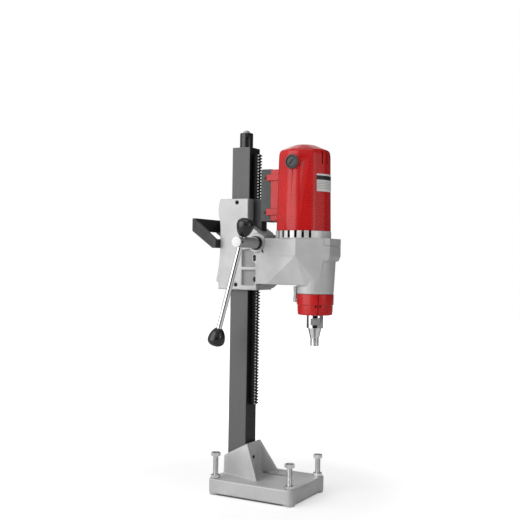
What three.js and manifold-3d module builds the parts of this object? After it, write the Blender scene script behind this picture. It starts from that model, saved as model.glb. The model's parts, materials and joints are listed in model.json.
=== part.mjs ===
// Core drill rig: a cast base, a square column with a rack, a carriage fed by a pinion and a sliding T-bar,
// and an electric core drill with its motor, two-stage gearbox and water-fed spindle.
// Millimetres, +Z up, +X from the column towards the spindle, -Y the side of the feed crank.
// The origin is on the ground, on the column's axis. Pieces called left are on the -Y side.
import * as THREE from "three";
import { ConvexGeometry } from "three/addons/geometries/ConvexGeometry.js";
import { mergeVertices } from "three/addons/utils/BufferGeometryUtils.js";
import Module from "manifold-3d";

const wasm = await Module();
wasm.setup();

// ---------- driving dimensions ----------
const GAP = 0.3; // clearance between pieces that touch
const OVERRUN = 1; // how far a cut runs past the face it opens

const base = {
  rear: -45, front: 200, half: 98, top: 42, underside: 5, skin: 9, corner: 16,
  rib: 6, longRibY: 45, crossRibX: [75, 130], ribFoot: 11, footRadius: 15, columnFootRadius: 20,
};
const anchorSlot = { rear: 42, front: 125, left: 30, right: 44, corner: 6.9 };
const levelling = {
  rear: -30, front: 185, half: 81, radius: 6.9, tip: 1.5, headBase: 89.5, head: 9, flats: 22,
  nut: 8, clear: 0.5,
};
const column = { half: 27, wall: 4, bottom: 12, top: 903, cap: 14, corner: 3 };
const socket = {
  half: 34, front: 37, rearTop: 92, frontTop: 130, flare: 2, wingFoot: 82, wingHalf: 64, wingSkin: 8,
};
const clampScrew = { z: 89, radius: 4, clear: 0.5, proud: 1.5, socket: 4, socketDepth: 4 };
const jack = { nutRadius: 17.5, nutTop: 943.5, radius: 9.6, clear: 0.7, tipTop: 951, foot: 800 };

const PRESSURE_ANGLE = THREE.MathUtils.degToRad(20);
const ADDENDUM = 0.8; // stub teeth, in modules, so that 14 teeth need no undercut
const DEDENDUM = 1.1;
const feed = {
  module: 2.5, teeth: 14, x: 60, z: 651, rackHalf: 8, teethBelow: 54, teethAbove: 30,
  pinionHalf: 10, pinionRoom: 22, pinionRoomHalf: 12,
};
const feedRadius = (feed.module * feed.teeth) / 2;
const rackPitchX = feed.x - feedRadius;

const carriage = {
  half: 42, bottom: 529, top: 767, front: 32, bore: 30, armFace: 60, armTop: 640,
  bossRadius: 25, bossHalf: 46, rackWayFront: 46.3, rackWayHalf: 9.5,
};
// The sloping top of the arm, which starts on the carriage's front face.
const ramp = {
  top: 700, fall: 0.643, edge: 62, nose: 75, noseHalf: 25, noseUnder: 666, edgeUnder: 664,
  shoulder: 84.6, shoulderInner: 33, shoulderFoot: 655, chinTop: 662.7,
};
const rampZ = (x) => ramp.top - ramp.fall * (x - carriage.front);
const pocket = {
  left: 16, roof: 632, floor: 34, ribBase: 581, ribTop: 589, flangeTop: 541, wall: 3.5,
};
const guidePad = { leg: 18, slack: 0.15, inset: 6 };
const guideScrew = { x: -2, upper: 757, lower: 542, radius: 5, sunk: 1.5, socket: 5, socketDepth: 4 };
const armBolt = {
  y: 37.5, upper: 612, lower: 557, radius: 3.5, flats: 11, head: 5.2, length: 16,
  earX: 62, earRear: 44, earInner: 34, upperEar: 16, lowerEar: 13, windowRear: 49.5, windowInner: 31.8,
  windowHalf: 8,
};
const handle = {
  front: -52.3, gripRear: -127.6, half: 62, arm: 6.5, bar: 12, lowerFoot: 637.5, lowerTop: 661,
  gripFoot: 682.5, gripTop: 716,
};
const guard = { front: 58, half: 14, skin: 2.5, lift: 0.4 };
const lock = { x: -15, z: 700, stud: 5, hub: 9, arm: 58 };

const crank = {
  radius: 13.4, near: -146, far: -54.6, flareRadius: 15.7, flare: 6, rodY: -122, rodRadius: 7,
  shaftRadius: 8, shaftNear: -76, shaftFar: 56, bushRadius: 12, bushInner: 12.5, flangeRadius: 18,
  flange: 7.7,
};
const tbar = {
  angle: THREE.MathUtils.degToRad(15.5), lowerKnob: 227, upperKnob: -14.5, knob: 47, rodInKnob: 37,
};

const drill = { motorX: 173, spindleX: 209 };
const gearbox = {
  rear: 60.3, top: 663, waist: 619, foot: 545, nose: 523, noseRadius: 46.5, noseTopRadius: 51,
  coverFloor: 655, coverJoint: 645, coverSplit: 250, cavityStep: 637, cavityFloor: 602.5,
  gapRadius: 27.6, gapHoleX: 81.5, gapHoleZ: 629.7, gapHole: 3.4, recessTop: 588,
};
const motor = {
  radius: 72, taper: 3.5, domeInset: 8, domeTop: 27, bottom: 682.3, shoulder: 870, dome: 886,
  top: 902, wall: 5, flangeRadius: 71, slots: 24, blindSlots: [3, 4, 5, 20], slotHalf: 3.2,
  brushZ: 853.5, brushBoss: 20, brushBore: 15, capFace: 74,
};
const motorPad = {
  front: 125, half: 36, bottom: 708, top: 840, lugRear: 84, lugHalf: 39.5,
  lugs: [[811, 827], [722, 739]],
};
const switchBox = { rear: 62, front: 94.7, half: 30, bottom: 707, top: 842, wall: 3 };
const rocker = { rear: 68, front: 88, middle: 790, half: 15, inner: 21, outer: 32.5, clear: 2.5 };
const collar = {
  bottom: 470, topRadius: 47, bottomRadius: 44.5, bore: 21.6, inletZ: 507, channel: 27, split: 2,
};
const inlet = { x: 154, radius: 5, body: 6, top: 541, tailZ: 531, tailEnd: 34 };

const stage1 = {
  module: 1, pinion: 14, wheel: 52, pinionZ: [640, 654], wheelZ: [641, 652], backlash: 0.25,
};
const stage2 = { module: 2, pinion: 14, wheel: 38, pinionZ: [604, 628], wheelZ: [606, 626], backlash: 0.3 };
const layshaft = { radius: 6, bottom: 588.5, top: 658.5 };
const spindleRadius = {
  neck: 12, body: 15, collar: 20, barrel: 20.8, thread: 11, water: 5, cone: 17, flat: 17,
};
const spindleZ = {
  tip: 391, thread: 411, cone: 436.5, barrel: 468.5, sleeve: 541, body: 600, top: 640, water: 500,
  flats: [445, 462], flatsAt: 119,
};
const armatureShaft = { radius: 6, commutator: 8 };
// Bearings as [bore, outer radius, lowest, highest].
const bearings = {
  motor_bearing_upper: [armatureShaft.radius, 13, 868, 880],
  motor_bearing_lower: [armatureShaft.radius, 15, 668.5, 679.5],
  spindle_bearing_upper: [spindleRadius.neck, 16, 629, 640],
  spindle_bearing_lower: [spindleRadius.body, 31, 542, 562],
};
const stack = { radius: 58, poles: 26, slot: 48, slotHalf: 9, bottom: 724, top: 801 };
const fan = { radius: 50, hub: 12, bottom: 700, disc: 3, top: 716, blades: 9, blade: 2.4 };

// The layshaft stands where both gear pairs reach their centre distances.
const centre1 = (stage1.module * (stage1.pinion + stage1.wheel)) / 2;
const centre2 = (stage2.module * (stage2.pinion + stage2.wheel)) / 2;
const axisGap = drill.spindleX - drill.motorX;
const layOffset = (centre1 ** 2 - centre2 ** 2 + axisGap ** 2) / (2 * axisGap);
const lay = { x: drill.motorX + layOffset, y: Math.sqrt(centre1 ** 2 - layOffset ** 2) };

// ---------- materials ----------
const finish = (colour, roughness, metalness) =>
  new THREE.MeshStandardMaterial({ color: colour, roughness, metalness });
const materials = {
  casting: finish(0xb9bab8, 0.55, 0.3),
  blackPaint: finish(0x2b2b2b, 0.6, 0.1),
  rackSteel: finish(0x1c1c1c, 0.5, 0.6),
  redPaint: finish(0xc0161c, 0.35, 0.0),
  greyPlastic: finish(0x4d5452, 0.6, 0.0),
  blackPlastic: finish(0x1a1a1a, 0.4, 0.0),
  chrome: finish(0xdddddd, 0.12, 1.0),
  zinc: finish(0xc8c8c4, 0.35, 0.8),
  blackScrew: finish(0x161616, 0.45, 0.6),
  steel: finish(0x8d8f92, 0.4, 0.9),
  machined: finish(0xd8d8d6, 0.3, 0.8),
  guide: finish(0xb58a3c, 0.5, 0.3),
  copper: finish(0xb66a3c, 0.4, 0.8),
  carbon: finish(0x222222, 0.8, 0.1),
};

// ---------- solids ----------
const alongX = new THREE.Matrix4().makeBasis(
  new THREE.Vector3(0, 1, 0),
  new THREE.Vector3(0, 0, 1),
  new THREE.Vector3(1, 0, 0),
);
const alongY = new THREE.Matrix4().makeBasis(
  new THREE.Vector3(1, 0, 0),
  new THREE.Vector3(0, 0, 1),
  new THREE.Vector3(0, -1, 0),
);
const sides = [-1, 1];

// A closed three.js geometry as a manifold solid, with its faces pointing out.
function solid(geometry) {
  const bare = (geometry.index ? geometry.toNonIndexed() : geometry).clone();
  for (const name of Object.keys(bare.attributes)) if (name !== "position") bare.deleteAttribute(name);
  const merged = mergeVertices(bare, 1e-4);
  const index = merged.index.array;
  const faces = [];
  for (let i = 0; i < index.length; i += 3) {
    const [a, b, c] = [index[i], index[i + 1], index[i + 2]];
    if (a !== b && b !== c && a !== c) faces.push(a, b, c);
  }
  const build = (triVerts) =>
    new wasm.Manifold(
      new wasm.Mesh({ numProp: 3, vertProperties: merged.attributes.position.array, triVerts }),
    );
  const made = build(new Uint32Array(faces));
  if (made.volume() >= 0) return made;
  for (let i = 0; i < faces.length; i += 3) [faces[i + 1], faces[i + 2]] = [faces[i + 2], faces[i + 1]];
  return build(new Uint32Array(faces));
}

function join(first, ...others) {
  return others.reduce((whole, piece) => whole.add(piece), first);
}

function cut(first, ...others) {
  return others.reduce((whole, piece) => whole.subtract(piece), first);
}

function toGeometry(manifold) {
  const mesh = manifold.getMesh();
  const positions = new Float32Array(mesh.numVert * 3);
  for (let i = 0; i < mesh.numVert; i++) {
    positions.set(mesh.vertProperties.subarray(i * mesh.numProp, i * mesh.numProp + 3), i * 3);
  }
  const geometry = new THREE.BufferGeometry();
  geometry.setAttribute("position", new THREE.BufferAttribute(positions, 3));
  geometry.setIndex(new THREE.BufferAttribute(mesh.triVerts, 1));
  geometry.computeVertexNormals();
  return geometry;
}

function block(x0, x1, y0, y1, z0, z1) {
  const geometry = new THREE.BoxGeometry(x1 - x0, y1 - y0, z1 - z0);
  return solid(geometry.translate((x0 + x1) / 2, (y0 + y1) / 2, (z0 + z1) / 2));
}

// A block from inner to outer on one side of the centre plane.
function sideBlock(side, x0, x1, inner, outer, z0, z1) {
  const [y0, y1] = [side * inner, side * outer].sort((a, b) => a - b);
  return block(x0, x1, y0, y1, z0, z1);
}

// A closed outline from points [a, b, radius]; a corner with a radius becomes a short curve.
function outline(points, steps = 3) {
  const path = [];
  const count = points.length;
  points.forEach(([a, b, radius = 0], i) => {
    const here = new THREE.Vector2(a, b);
    if (!radius) {
      path.push(here);
      return;
    }
    const before = new THREE.Vector2(...points[(i + count - 1) % count].slice(0, 2)).sub(here).normalize();
    const after = new THREE.Vector2(...points[(i + 1) % count].slice(0, 2)).sub(here).normalize();
    const reach = radius / Math.tan(before.angleTo(after) / 2);
    const start = here.clone().addScaledVector(before, reach);
    const end = here.clone().addScaledVector(after, reach);
    path.push(...new THREE.QuadraticBezierCurve(start, here, end).getPoints(steps));
  });
  return path;
}

const vectors = (points) => points.map((p) => (p.isVector2 ? p : new THREE.Vector2(...p)));

// An outline extruded from one level to another; a bevel chamfers both ends.
function prism(points, from, to, { frame = null, bevel = 0, holes = [] } = {}) {
  const shape = new THREE.Shape(vectors(points));
  shape.holes = holes.map((hole) => new THREE.Path(vectors(hole)));
  const geometry = new THREE.ExtrudeGeometry(shape, {
    depth: to - from - 2 * bevel,
    bevelEnabled: bevel > 0,
    bevelThickness: bevel,
    bevelSize: bevel,
    bevelOffset: -bevel,
    bevelSegments: 1,
  });
  geometry.translate(0, 0, from + bevel);
  if (frame) geometry.applyMatrix4(frame);
  return solid(geometry);
}

const prismZ = (points, z0, z1, options) => prism(points, z0, z1, options);
const prismX = (points, x0, x1, options) => prism(points, x0, x1, { ...options, frame: alongX });
const prismY = (points, y0, y1, options) => prism(points, -y1, -y0, { ...options, frame: alongY });

// A side view's outline extruded from inner to outer on one side of the centre plane.
function sidePrism(side, points, inner, outer) {
  const [y0, y1] = [side * inner, side * outer].sort((a, b) => a - b);
  return prismY(points, y0, y1);
}

function circle(x, y, radius, count = 24, phase = 0) {
  return Array.from({ length: count }, (_, i) => {
    const angle = phase + (i * 2 * Math.PI) / count;
    return new THREE.Vector2(x + radius * Math.cos(angle), y + radius * Math.sin(angle));
  });
}

const rodZ = (x, y, radius, z0, z1, count) => prismZ(circle(x, y, radius, count), z0, z1);
const rodY = (x, z, radius, y0, y1, count) => prismY(circle(x, z, radius, count), y0, y1);
const rodX = (y, z, radius, x0, x1, count) => prismX(circle(y, z, radius, count), x0, x1);

// A rod from inner to outer on one side of the centre plane.
function sideRod(side, x, z, radius, inner, outer, count) {
  const [y0, y1] = [side * inner, side * outer].sort((a, b) => a - b);
  return rodY(x, z, radius, y0, y1, count);
}

// A profile of [radius, height] points turned about a vertical axis.
function turned(profile, x, y, count = 28) {
  const geometry = new THREE.LatheGeometry(
    profile.map(([radius, height]) => new THREE.Vector2(radius, height)),
    count,
  );
  return solid(geometry.rotateX(Math.PI / 2).translate(x, y, 0));
}

// The same turned piece, with its axis along Y through x, z and its foot on the centre plane.
function turnedSideways(side, profile, x, z, count) {
  return turned(profile, 0, 0, count).rotate([side < 0 ? 90 : -90, 0, 0]).translate([x, 0, z]);
}

function hexagon(x, y, flats, phase = 0) {
  return circle(x, y, flats / Math.sqrt(3), 6, phase);
}

const hull = (points) => solid(new ConvexGeometry(points.map((p) => new THREE.Vector3(...p))));

// A closed solid through outlines of equal length, with flat ends.
function loft(outlines) {
  const size = outlines[0].length;
  const last = (outlines.length - 1) * size;
  const faces = [];
  for (let row = 0; row < last; row += size) {
    for (let k = 0; k < size; k++) {
      const next = (k + 1) % size;
      faces.push(row + k, row + next, row + size + next, row + k, row + size + next, row + size + k);
    }
  }
  for (let k = 1; k < size - 1; k++) faces.push(0, k + 1, k, last, last + k, last + k + 1);
  const geometry = new THREE.BufferGeometry();
  geometry.setAttribute("position", new THREE.Float32BufferAttribute(outlines.flat(2), 3));
  geometry.setIndex(faces);
  return solid(geometry);
}

// The same points on both sides of the centre plane.
const bothSides = (points) => points.flatMap(([x, y, z]) => [[x, y, z], [x, -y, z]]);

// Points [x, y] of a plan outline, all at one height.
const atLevel = (points, z) => points.map(([x, y]) => [x, y, z]);

const ring = (x, y, inner, outer, z0, z1, count = 24) =>
  prismZ(circle(x, y, outer, count), z0, z1, { holes: [circle(x, y, inner, count)] });

const rectangle = (x0, x1, half, radius) =>
  outline([[x0, -half, radius], [x1, -half, radius], [x1, half, radius], [x0, half, radius]]);

// ---------- gear teeth ----------
const involute = (angle) => Math.tan(angle) - angle;
const FEW_TEETH = 20; // gears below this get a point at the pitch circle on each flank

// The outline of an involute gear centred on x, y, with a tooth pointing along toothAt.
function gearOutline(module, teeth, x, y, toothAt, backlash) {
  const pitch = (module * teeth) / 2;
  const baseRadius = pitch * Math.cos(PRESSURE_ANGLE);
  const tip = pitch + ADDENDUM * module;
  const root = pitch - DEDENDUM * module;
  const halfAtPitch = Math.PI / (2 * teeth) - backlash / (4 * pitch);
  const halfAt = (radius) => {
    const angle = Math.acos(Math.min(1, baseRadius / Math.max(radius, baseRadius)));
    return halfAtPitch + involute(PRESSURE_ANGLE) - involute(angle);
  };
  const radii = teeth < FEW_TEETH ? [root, pitch, tip] : [root, tip];
  const flank = radii.map((radius) => [radius, halfAt(radius)]);
  const tooth = [...flank.map(([r, a]) => [r, -a]), ...flank.reverse()];
  return Array.from({ length: teeth }, (_, k) => toothAt + (k * 2 * Math.PI) / teeth).flatMap((at) =>
    tooth.map(([r, a]) => new THREE.Vector2(x + r * Math.cos(at + a), y + r * Math.sin(at + a))),
  );
}

// A gear with a gap, rather than a tooth, pointing along gapAt.
const gapOutline = (module, teeth, x, y, gapAt, backlash) =>
  gearOutline(module, teeth, x, y, gapAt + Math.PI / teeth, backlash);

// ---------- stand ----------
// Each corner's place, and how far its levelling screw is wound up from the floor.
const corners = {
  front_left: [levelling.front, -levelling.half, 6],
  front_right: [levelling.front, levelling.half, 0],
  rear_left: [levelling.rear, -levelling.half, 9.5],
  rear_right: [levelling.rear, levelling.half, 7.5],
};

// The column's socket: a tapering box with a curved-back wing on each side.
function makeSocket() {
  const { half, front, rearTop, frontTop, flare, wingFoot, wingHalf, wingSkin } = socket;
  const foot = base.top - OVERRUN;
  const wingTop = frontTop - 1;
  const shell = hull(bothSides([
    [-half, half + flare, foot], [-half, half, rearTop],
    [front, half, frontTop], [front, half + flare, foot],
  ]));
  const proud = 0.6; // the wings stand this far out from the box
  const topEdge = new THREE.LineCurve3(
    new THREE.Vector3(proud - half, half + proud, rearTop),
    new THREE.Vector3(front, half + flare, wingTop),
  );
  const footEdge = new THREE.QuadraticBezierCurve3(
    new THREE.Vector3(proud - half, half + flare + proud, foot),
    new THREE.Vector3(front - 4, half + flare + proud, foot),
    new THREE.Vector3(wingFoot, wingHalf, foot),
  );
  const steps = 12;
  const ribs = Array.from({ length: steps + 1 }, (_, i) => {
    const [above, below] = [topEdge.getPoint(i / steps), footEdge.getPoint(i / steps)];
    const thin = new THREE.Vector3(0, -wingSkin, 0);
    return [above, below, below.clone().add(thin), above.clone().add(thin)];
  });
  const wings = sides.map((side) =>
    loft(ribs.map((rib) => rib.map(({ x, y, z }) => [x, side * y, z]))),
  );
  return join(shell, ...wings);
}

function makeBase() {
  const { rear, front, half, top, underside, skin, corner, rib, longRibY, crossRibX, ribFoot } = base;
  const deckUnder = top - skin;
  const plate = prismZ(rectangle(rear, front, half, corner), underside, top, { bevel: 1.5 });
  const hollow = prismZ(rectangle(rear + skin, front - skin, half - skin, corner / 2), 0, deckUnder);
  const ribTop = deckUnder + OVERRUN;
  const edge = 2; // the ribs end inside the walls
  const longRibs = sides.map((side) =>
    sideBlock(side, rear + edge, front - edge, longRibY - rib / 2, longRibY + rib / 2, ribFoot, ribTop),
  );
  const crossRibs = crossRibX.map((x) =>
    block(x - rib / 2, x + rib / 2, edge - half, half - edge, ribFoot, ribTop),
  );
  const feet = Object.values(corners).map(([x, y]) => rodZ(x, y, base.footRadius, 0, top + 0.4, 16));
  const columnFoot = rodZ(0, 0, base.columnFootRadius, 0, ribFoot, 24);
  const pedestal = block(-socket.half, socket.front, -socket.half, socket.half, underside + 2, ribTop);
  const { rear: slotRear, front: slotFront, left, right, corner: round } = anchorSlot;
  const slot = prismZ(
    outline([
      [slotRear, left, round], [slotFront, left, round],
      [slotFront, right, round], [slotRear, right, round],
    ]),
    0, top + OVERRUN,
  );
  const way = column.half + GAP;
  const columnWay = block(-way, way, -way, way, column.bottom - GAP, socket.frontTop + OVERRUN);
  const screwWays = Object.values(corners).map(([x, y]) =>
    rodZ(x, y, levelling.radius + levelling.clear, -OVERRUN, top + 2, 16),
  );
  const clampWay = rodX(
    0, clampScrew.z, clampScrew.radius + clampScrew.clear, column.half - OVERRUN, socket.front + 2, 12,
  );
  const shell = cut(plate, hollow);
  const casting = join(shell, ...longRibs, ...crossRibs, ...feet, columnFoot, pedestal, makeSocket());
  return cut(casting, slot, columnWay, clampWay, ...screwWays);
}

function makeColumn() {
  const { half, wall, bottom, top, cap, corner } = column;
  const inner = half - wall;
  const tube = prismZ(rectangle(-half, half, half, corner), bottom, top);
  const jackWay = rodZ(0, 0, jack.radius + jack.clear, top - cap - OVERRUN, top + OVERRUN, 24);
  return cut(tube, block(-inner, inner, -inner, inner, bottom - OVERRUN, top - cap), jackWay);
}

function makeRack() {
  const pitch = Math.PI * feed.module;
  const root = rackPitchX - DEDENDUM * feed.module;
  const tip = rackPitchX + ADDENDUM * feed.module;
  const backlash = 0.15;
  const halfAt = (x) => pitch / 4 - backlash - (x - rackPitchX) * Math.tan(PRESSURE_ANGLE);
  const centres = [];
  for (let k = -feed.teethBelow; k < feed.teethAbove; k++) centres.push(feed.z + (k + 0.5) * pitch);
  const teeth = centres.flatMap((z) => [
    [root, z - halfAt(root)],
    [tip, z - halfAt(tip)],
    [tip, z + halfAt(tip)],
    [root, z + halfAt(root)],
  ]);
  const back = column.half + GAP;
  const low = centres[0] - pitch / 2;
  const high = centres[centres.length - 1] + pitch / 2;
  const profile = [[back, low], [root, low], ...teeth, [root, high], [back, high]];
  return prismY(profile, -feed.rackHalf, feed.rackHalf);
}

function makeColumnClampScrew() {
  const { z, radius, proud, socket: flats, socketDepth } = clampScrew;
  const end = socket.front + proud;
  const shank = rodX(0, z, radius, column.half + GAP, end, 24);
  return cut(shank, prismX(hexagon(0, z, flats), end - socketDepth, end + OVERRUN));
}

function makeLevellingScrew([x, y, rise]) {
  const { radius, head, flats } = levelling;
  const [tip, headBase] = [levelling.tip + rise, levelling.headBase + rise];
  const point = 2; // the tip's chamfer
  const top = headBase + OVERRUN;
  const shank = turned([
    [0, tip], [radius - point, tip], [radius, tip + 3], [radius, top], [0, top],
  ], x, y, 16);
  return join(shank, prismZ(hexagon(x, y, flats, 0.3), headBase, headBase + head, { bevel: 1.2 }));
}

function makeLevellingNut([x, y]) {
  const { nut, flats, radius, clear } = levelling;
  const z = base.top + 0.7;
  const body = prismZ(hexagon(x, y, flats, 0.1), z, z + nut, { bevel: 1 });
  return cut(body, rodZ(x, y, radius + clear, z - OVERRUN, z + nut + OVERRUN, 16));
}

function makeJackNut() {
  const { nutRadius: r, nutTop: top, radius, clear } = jack;
  const foot = column.top + GAP;
  const bore = radius + clear;
  return turned([
    [bore, foot], [r - 1, foot], [r, foot + 1], [r, top - 1.5], [r - 1.5, top], [bore, top], [bore, foot],
  ], 0, 0);
}

function makeJackScrew() {
  const { radius: r, foot, nutTop, tipTop } = jack;
  const neck = nutTop + 0.5;
  const dome = Array.from({ length: 5 }, (_, i) => (i * Math.PI) / 10).map((a) => [
    r * Math.cos(a),
    neck + (tipTop - neck) * Math.sin(a),
  ]);
  return turned([[0, foot], [r, foot], ...dome, [0, tipTop]], 0, 0, 24);
}

// ---------- carriage ----------
// The cast back bulges round the guides and flares towards its foot.
const carriageBack = [
  [-56, 529], [-56, 547], [-62, 549], [-63, 553], [-58, 575], [-54, 605], [-52, 636],
  [-52, 690], [-54, 710], [-58, 725], [-59, 742], [-56, 757], [-53, 767],
];

// The carriage's body, with a closed pocket in each side and the plate the arm is bolted to.
function carriageShell() {
  const { half, front, bottom, top, armFace, armTop } = carriage;
  const { left, roof, floor, ribBase, ribTop, flangeTop, wall } = pocket;
  const edgeZ = rampZ(ramp.edge);
  const side = prismY(
    [
      ...carriageBack, [front, top], [front, ramp.top], [ramp.edge, edgeZ], [ramp.edge, ramp.edgeUnder],
      [armFace, ramp.edgeUnder], [armFace, armTop], [left, roof], [left, bottom],
    ],
    -half, half, { bevel: 1.2 },
  );
  const rear = left - OVERRUN;
  const core = block(rear, armFace, -floor, floor, bottom, armTop);
  const rib = block(rear, armFace, -half, half, ribBase, ribTop);
  const flange = block(rear, armFace, -half, half, bottom, flangeTop);
  const plate = block(armFace - wall, armFace, -half, half, bottom + 4, armTop);
  return join(side, core, rib, flange, plate);
}

// The lug round each arm bolt, open at the side for a spanner.
function boltLugs() {
  const { earX, earRear, earInner, upperEar, lowerEar, windowRear, windowInner, windowHalf } = armBolt;
  const { half, armFace, bottom, armTop } = carriage;
  const behindArm = block(earRear, armFace, -half, half, bottom, armTop);
  const lugs = [];
  const windows = [];
  for (const [z, radius] of [[armBolt.upper, upperEar], [armBolt.lower, lowerEar]]) {
    for (const side of sides) {
      lugs.push(sideRod(side, earX, z, radius, earInner, half, 32).intersect(behindArm));
      const [low, high] = [z - windowHalf, z + windowHalf];
      windows.push(sideBlock(side, windowRear, armFace - pocket.wall, windowInner, half + 3, low, high));
    }
  }
  return { lugs, windows };
}

// The nose of the sloping top, and the boss round the feed shaft with a shoulder at each end.
function noseAndBoss() {
  const { edge, nose, noseHalf, noseUnder, edgeUnder } = ramp;
  const { shoulder, shoulderInner, shoulderFoot, chinTop } = ramp;
  const { half, armFace, bossRadius, bossHalf } = carriage;
  const prow = hull(bothSides([
    [armFace - 2, half, edgeUnder], [armFace - 2, half, rampZ(armFace - 2)],
    [edge, half, edgeUnder], [edge, half, rampZ(edge)],
    [nose, noseHalf, noseUnder], [nose, noseHalf, rampZ(nose)],
  ]));
  const boss = rodY(feed.x, feed.z, bossRadius, -bossHalf, bossHalf, 32);
  const chin = prismY(
    [[feed.x, feed.z], [feed.x + bossRadius, feed.z], [shoulder, chinTop], [feed.x, chinTop]],
    -bossHalf, bossHalf,
  );
  const [rear, crown] = [feed.x - 10, feed.x + 14];
  const cheek = [
    [rear, shoulderFoot], [shoulder, shoulderFoot], [shoulder, rampZ(shoulder)], [crown, rampZ(crown)],
    [rear, feed.z + bossRadius],
  ];
  const shoulders = sides.map((side) => sidePrism(side, cheek, shoulderInner, bossHalf));
  return join(prow, boss, chin, ...shoulders);
}

// The carriage's casting, with a tongue under the gearbox's foot.
function makeCarriage() {
  const { half, bore, bottom, top, bossHalf, rackWayFront, rackWayHalf, armFace } = carriage;
  const tongue = hull(bothSides([
    [50, 36, 531], [50, 36, 544.5], [80, 30, 544.5], [93, 14, 544.5], [76, 22, 534], [84, 10, 538],
  ]));
  const columnWay = block(-bore, bore, -bore, bore, bottom - OVERRUN, top + OVERRUN);
  const rackWay = block(bore - OVERRUN, rackWayFront, -rackWayHalf, rackWayHalf, bottom - 3, top + OVERRUN);
  const pinionWay = rodY(feed.x, feed.z, feed.pinionRoom, -feed.pinionRoomHalf, feed.pinionRoomHalf, 20);
  const shaftHalf = bossHalf + OVERRUN;
  const shaftWay = rodY(feed.x, feed.z, crank.bushRadius + GAP, -shaftHalf, shaftHalf, 24);
  const screwWays = [guideScrew.upper, guideScrew.lower].map((z) =>
    rodY(guideScrew.x, z, guideScrew.radius + GAP, -half - OVERRUN, OVERRUN - bore, 12),
  );
  const boltWays = [armBolt.upper, armBolt.lower].flatMap((z) =>
    sides.map((side) =>
      rodX(side * armBolt.y, z, armBolt.radius + GAP, armFace - 8, armFace + OVERRUN, 12),
    ),
  );
  const lockWay = rodY(lock.x, lock.z, lock.stud + GAP, bore - OVERRUN, half + OVERRUN, 12);
  const { lugs, windows } = boltLugs();
  const body = join(carriageShell(), ...lugs, noseAndBoss(), tongue);
  return cut(body, columnWay, rackWay, pinionWay, shaftWay, ...screwWays, ...windows, ...boltWays, lockWay);
}

// An L-section strip in one corner of the carriage's bore, sliding on the column.
function makeGuidePad(sx, sy) {
  const inner = column.half + guidePad.slack;
  const outer = carriage.bore - guidePad.slack;
  const end = outer - guidePad.leg;
  const points = [[outer, outer], [outer, end], [inner, end], [inner, inner], [end, inner], [end, outer]];
  const [low, high] = [carriage.bottom + guidePad.inset, carriage.top - guidePad.inset];
  return prismZ(points.map(([x, y]) => [sx * x, sy * y]), low, high);
}

// A socket screw that presses a guide pad against the column.
function makeGuideScrew(z) {
  const { x, radius, sunk, socket: flats, socketDepth } = guideScrew;
  const face = sunk - carriage.half;
  const screw = rodY(x, z, radius, face, -carriage.bore - GAP, 12);
  return cut(screw, prismY(hexagon(x, z, flats), face - OVERRUN, face + socketDepth));
}

// An open loop: a lower bar on the carriage's back, two thin rising arms and a grip.
function makeHandle() {
  const { front, gripRear, half, arm, bar, lowerFoot, lowerTop, gripFoot, gripTop } = handle;
  const gripFront = gripRear + bar;
  const lowerRear = front - bar;
  const side = outline([
    [front, lowerFoot, 1], [front, lowerTop, 1], [gripFront, gripTop - 5, 1], [gripFront, gripTop, 1],
    [gripRear, gripTop, 2], [gripRear, gripFoot, 2], [lowerRear, lowerFoot, 5],
  ], 2);
  const loop = prismY(side, -half, half, { bevel: 1 });
  const inner = half - arm;
  const gap = prismY(
    [
      [front + OVERRUN, lowerTop], [lowerRear, lowerTop], [lowerRear, lowerFoot - OVERRUN],
      [gripRear - OVERRUN, lowerFoot - OVERRUN], [gripRear - OVERRUN, gripFoot], [gripFront, gripFoot],
      [gripFront, gripTop + OVERRUN], [front + OVERRUN, gripTop + OVERRUN],
    ],
    -inner, inner,
  );
  return cut(loop, gap);
}

// A channel over the teeth above the pinion, open towards the column, whose foot follows the ramp.
function makeRackGuard() {
  const { front, half, skin, lift } = guard;
  const rear = carriage.front + GAP;
  const channel = prismZ(
    [
      [rear, -half], [front, -half], [front, half], [rear, half], [rear, half - skin],
      [front - skin, half - skin], [front - skin, skin - half], [rear, skin - half],
    ],
    rampZ(front), carriage.top,
  );
  const below = prismY(
    [
      [rear - OVERRUN, ramp.edgeUnder], [front + OVERRUN, ramp.edgeUnder],
      [front + OVERRUN, rampZ(front + OVERRUN) + lift], [rear - OVERRUN, rampZ(rear - OVERRUN) + lift],
    ],
    -half - OVERRUN, half + OVERRUN,
  );
  return cut(channel, below);
}

function makeFeedBush(side) {
  const { bushRadius: r, bushInner: inner, shaftRadius, flangeRadius, flange } = crank;
  const bore = shaftRadius + GAP;
  const seat = carriage.bossHalf + GAP;
  const face = seat + flange;
  const profile = [
    [bore, inner], [r, inner], [r, seat], [flangeRadius, seat], [flangeRadius, face], [bore, face],
    [bore, inner],
  ];
  return turnedSideways(side, profile, feed.x, feed.z, 24);
}

function makeLockLever() {
  const { x, z, stud, hub, arm } = lock;
  const y = carriage.half + GAP;
  const pin = rodY(x, z, stud - 0.1, carriage.bore + GAP, y + 2, 12);
  const boss = rodY(x, z, hub, y + 1, y + 13, 20);
  const root = [-5, 5].flatMap((dx) => [5, 12].map((dy) => [x + dx, y + dy, z]));
  const tip = [-3, 3].flatMap((dx) => [9, 15].map((dy) => [x + dx, y + dy, z - arm]));
  return join(pin, boss, hull([...root, ...tip]));
}

// ---------- feed ----------
function makeFeedShaft() {
  const { shaftRadius, shaftNear, shaftFar } = crank;
  const teeth = gearOutline(feed.module, feed.teeth, feed.x, feed.z, Math.PI, 0.3);
  const pinion = prismY(teeth, -feed.pinionHalf, feed.pinionHalf);
  return join(pinion, rodY(feed.x, feed.z, shaftRadius, shaftNear, shaftFar, 24));
}

const crankAxis = new THREE.Vector3(-Math.sin(tbar.angle), 0, -Math.cos(tbar.angle));

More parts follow.
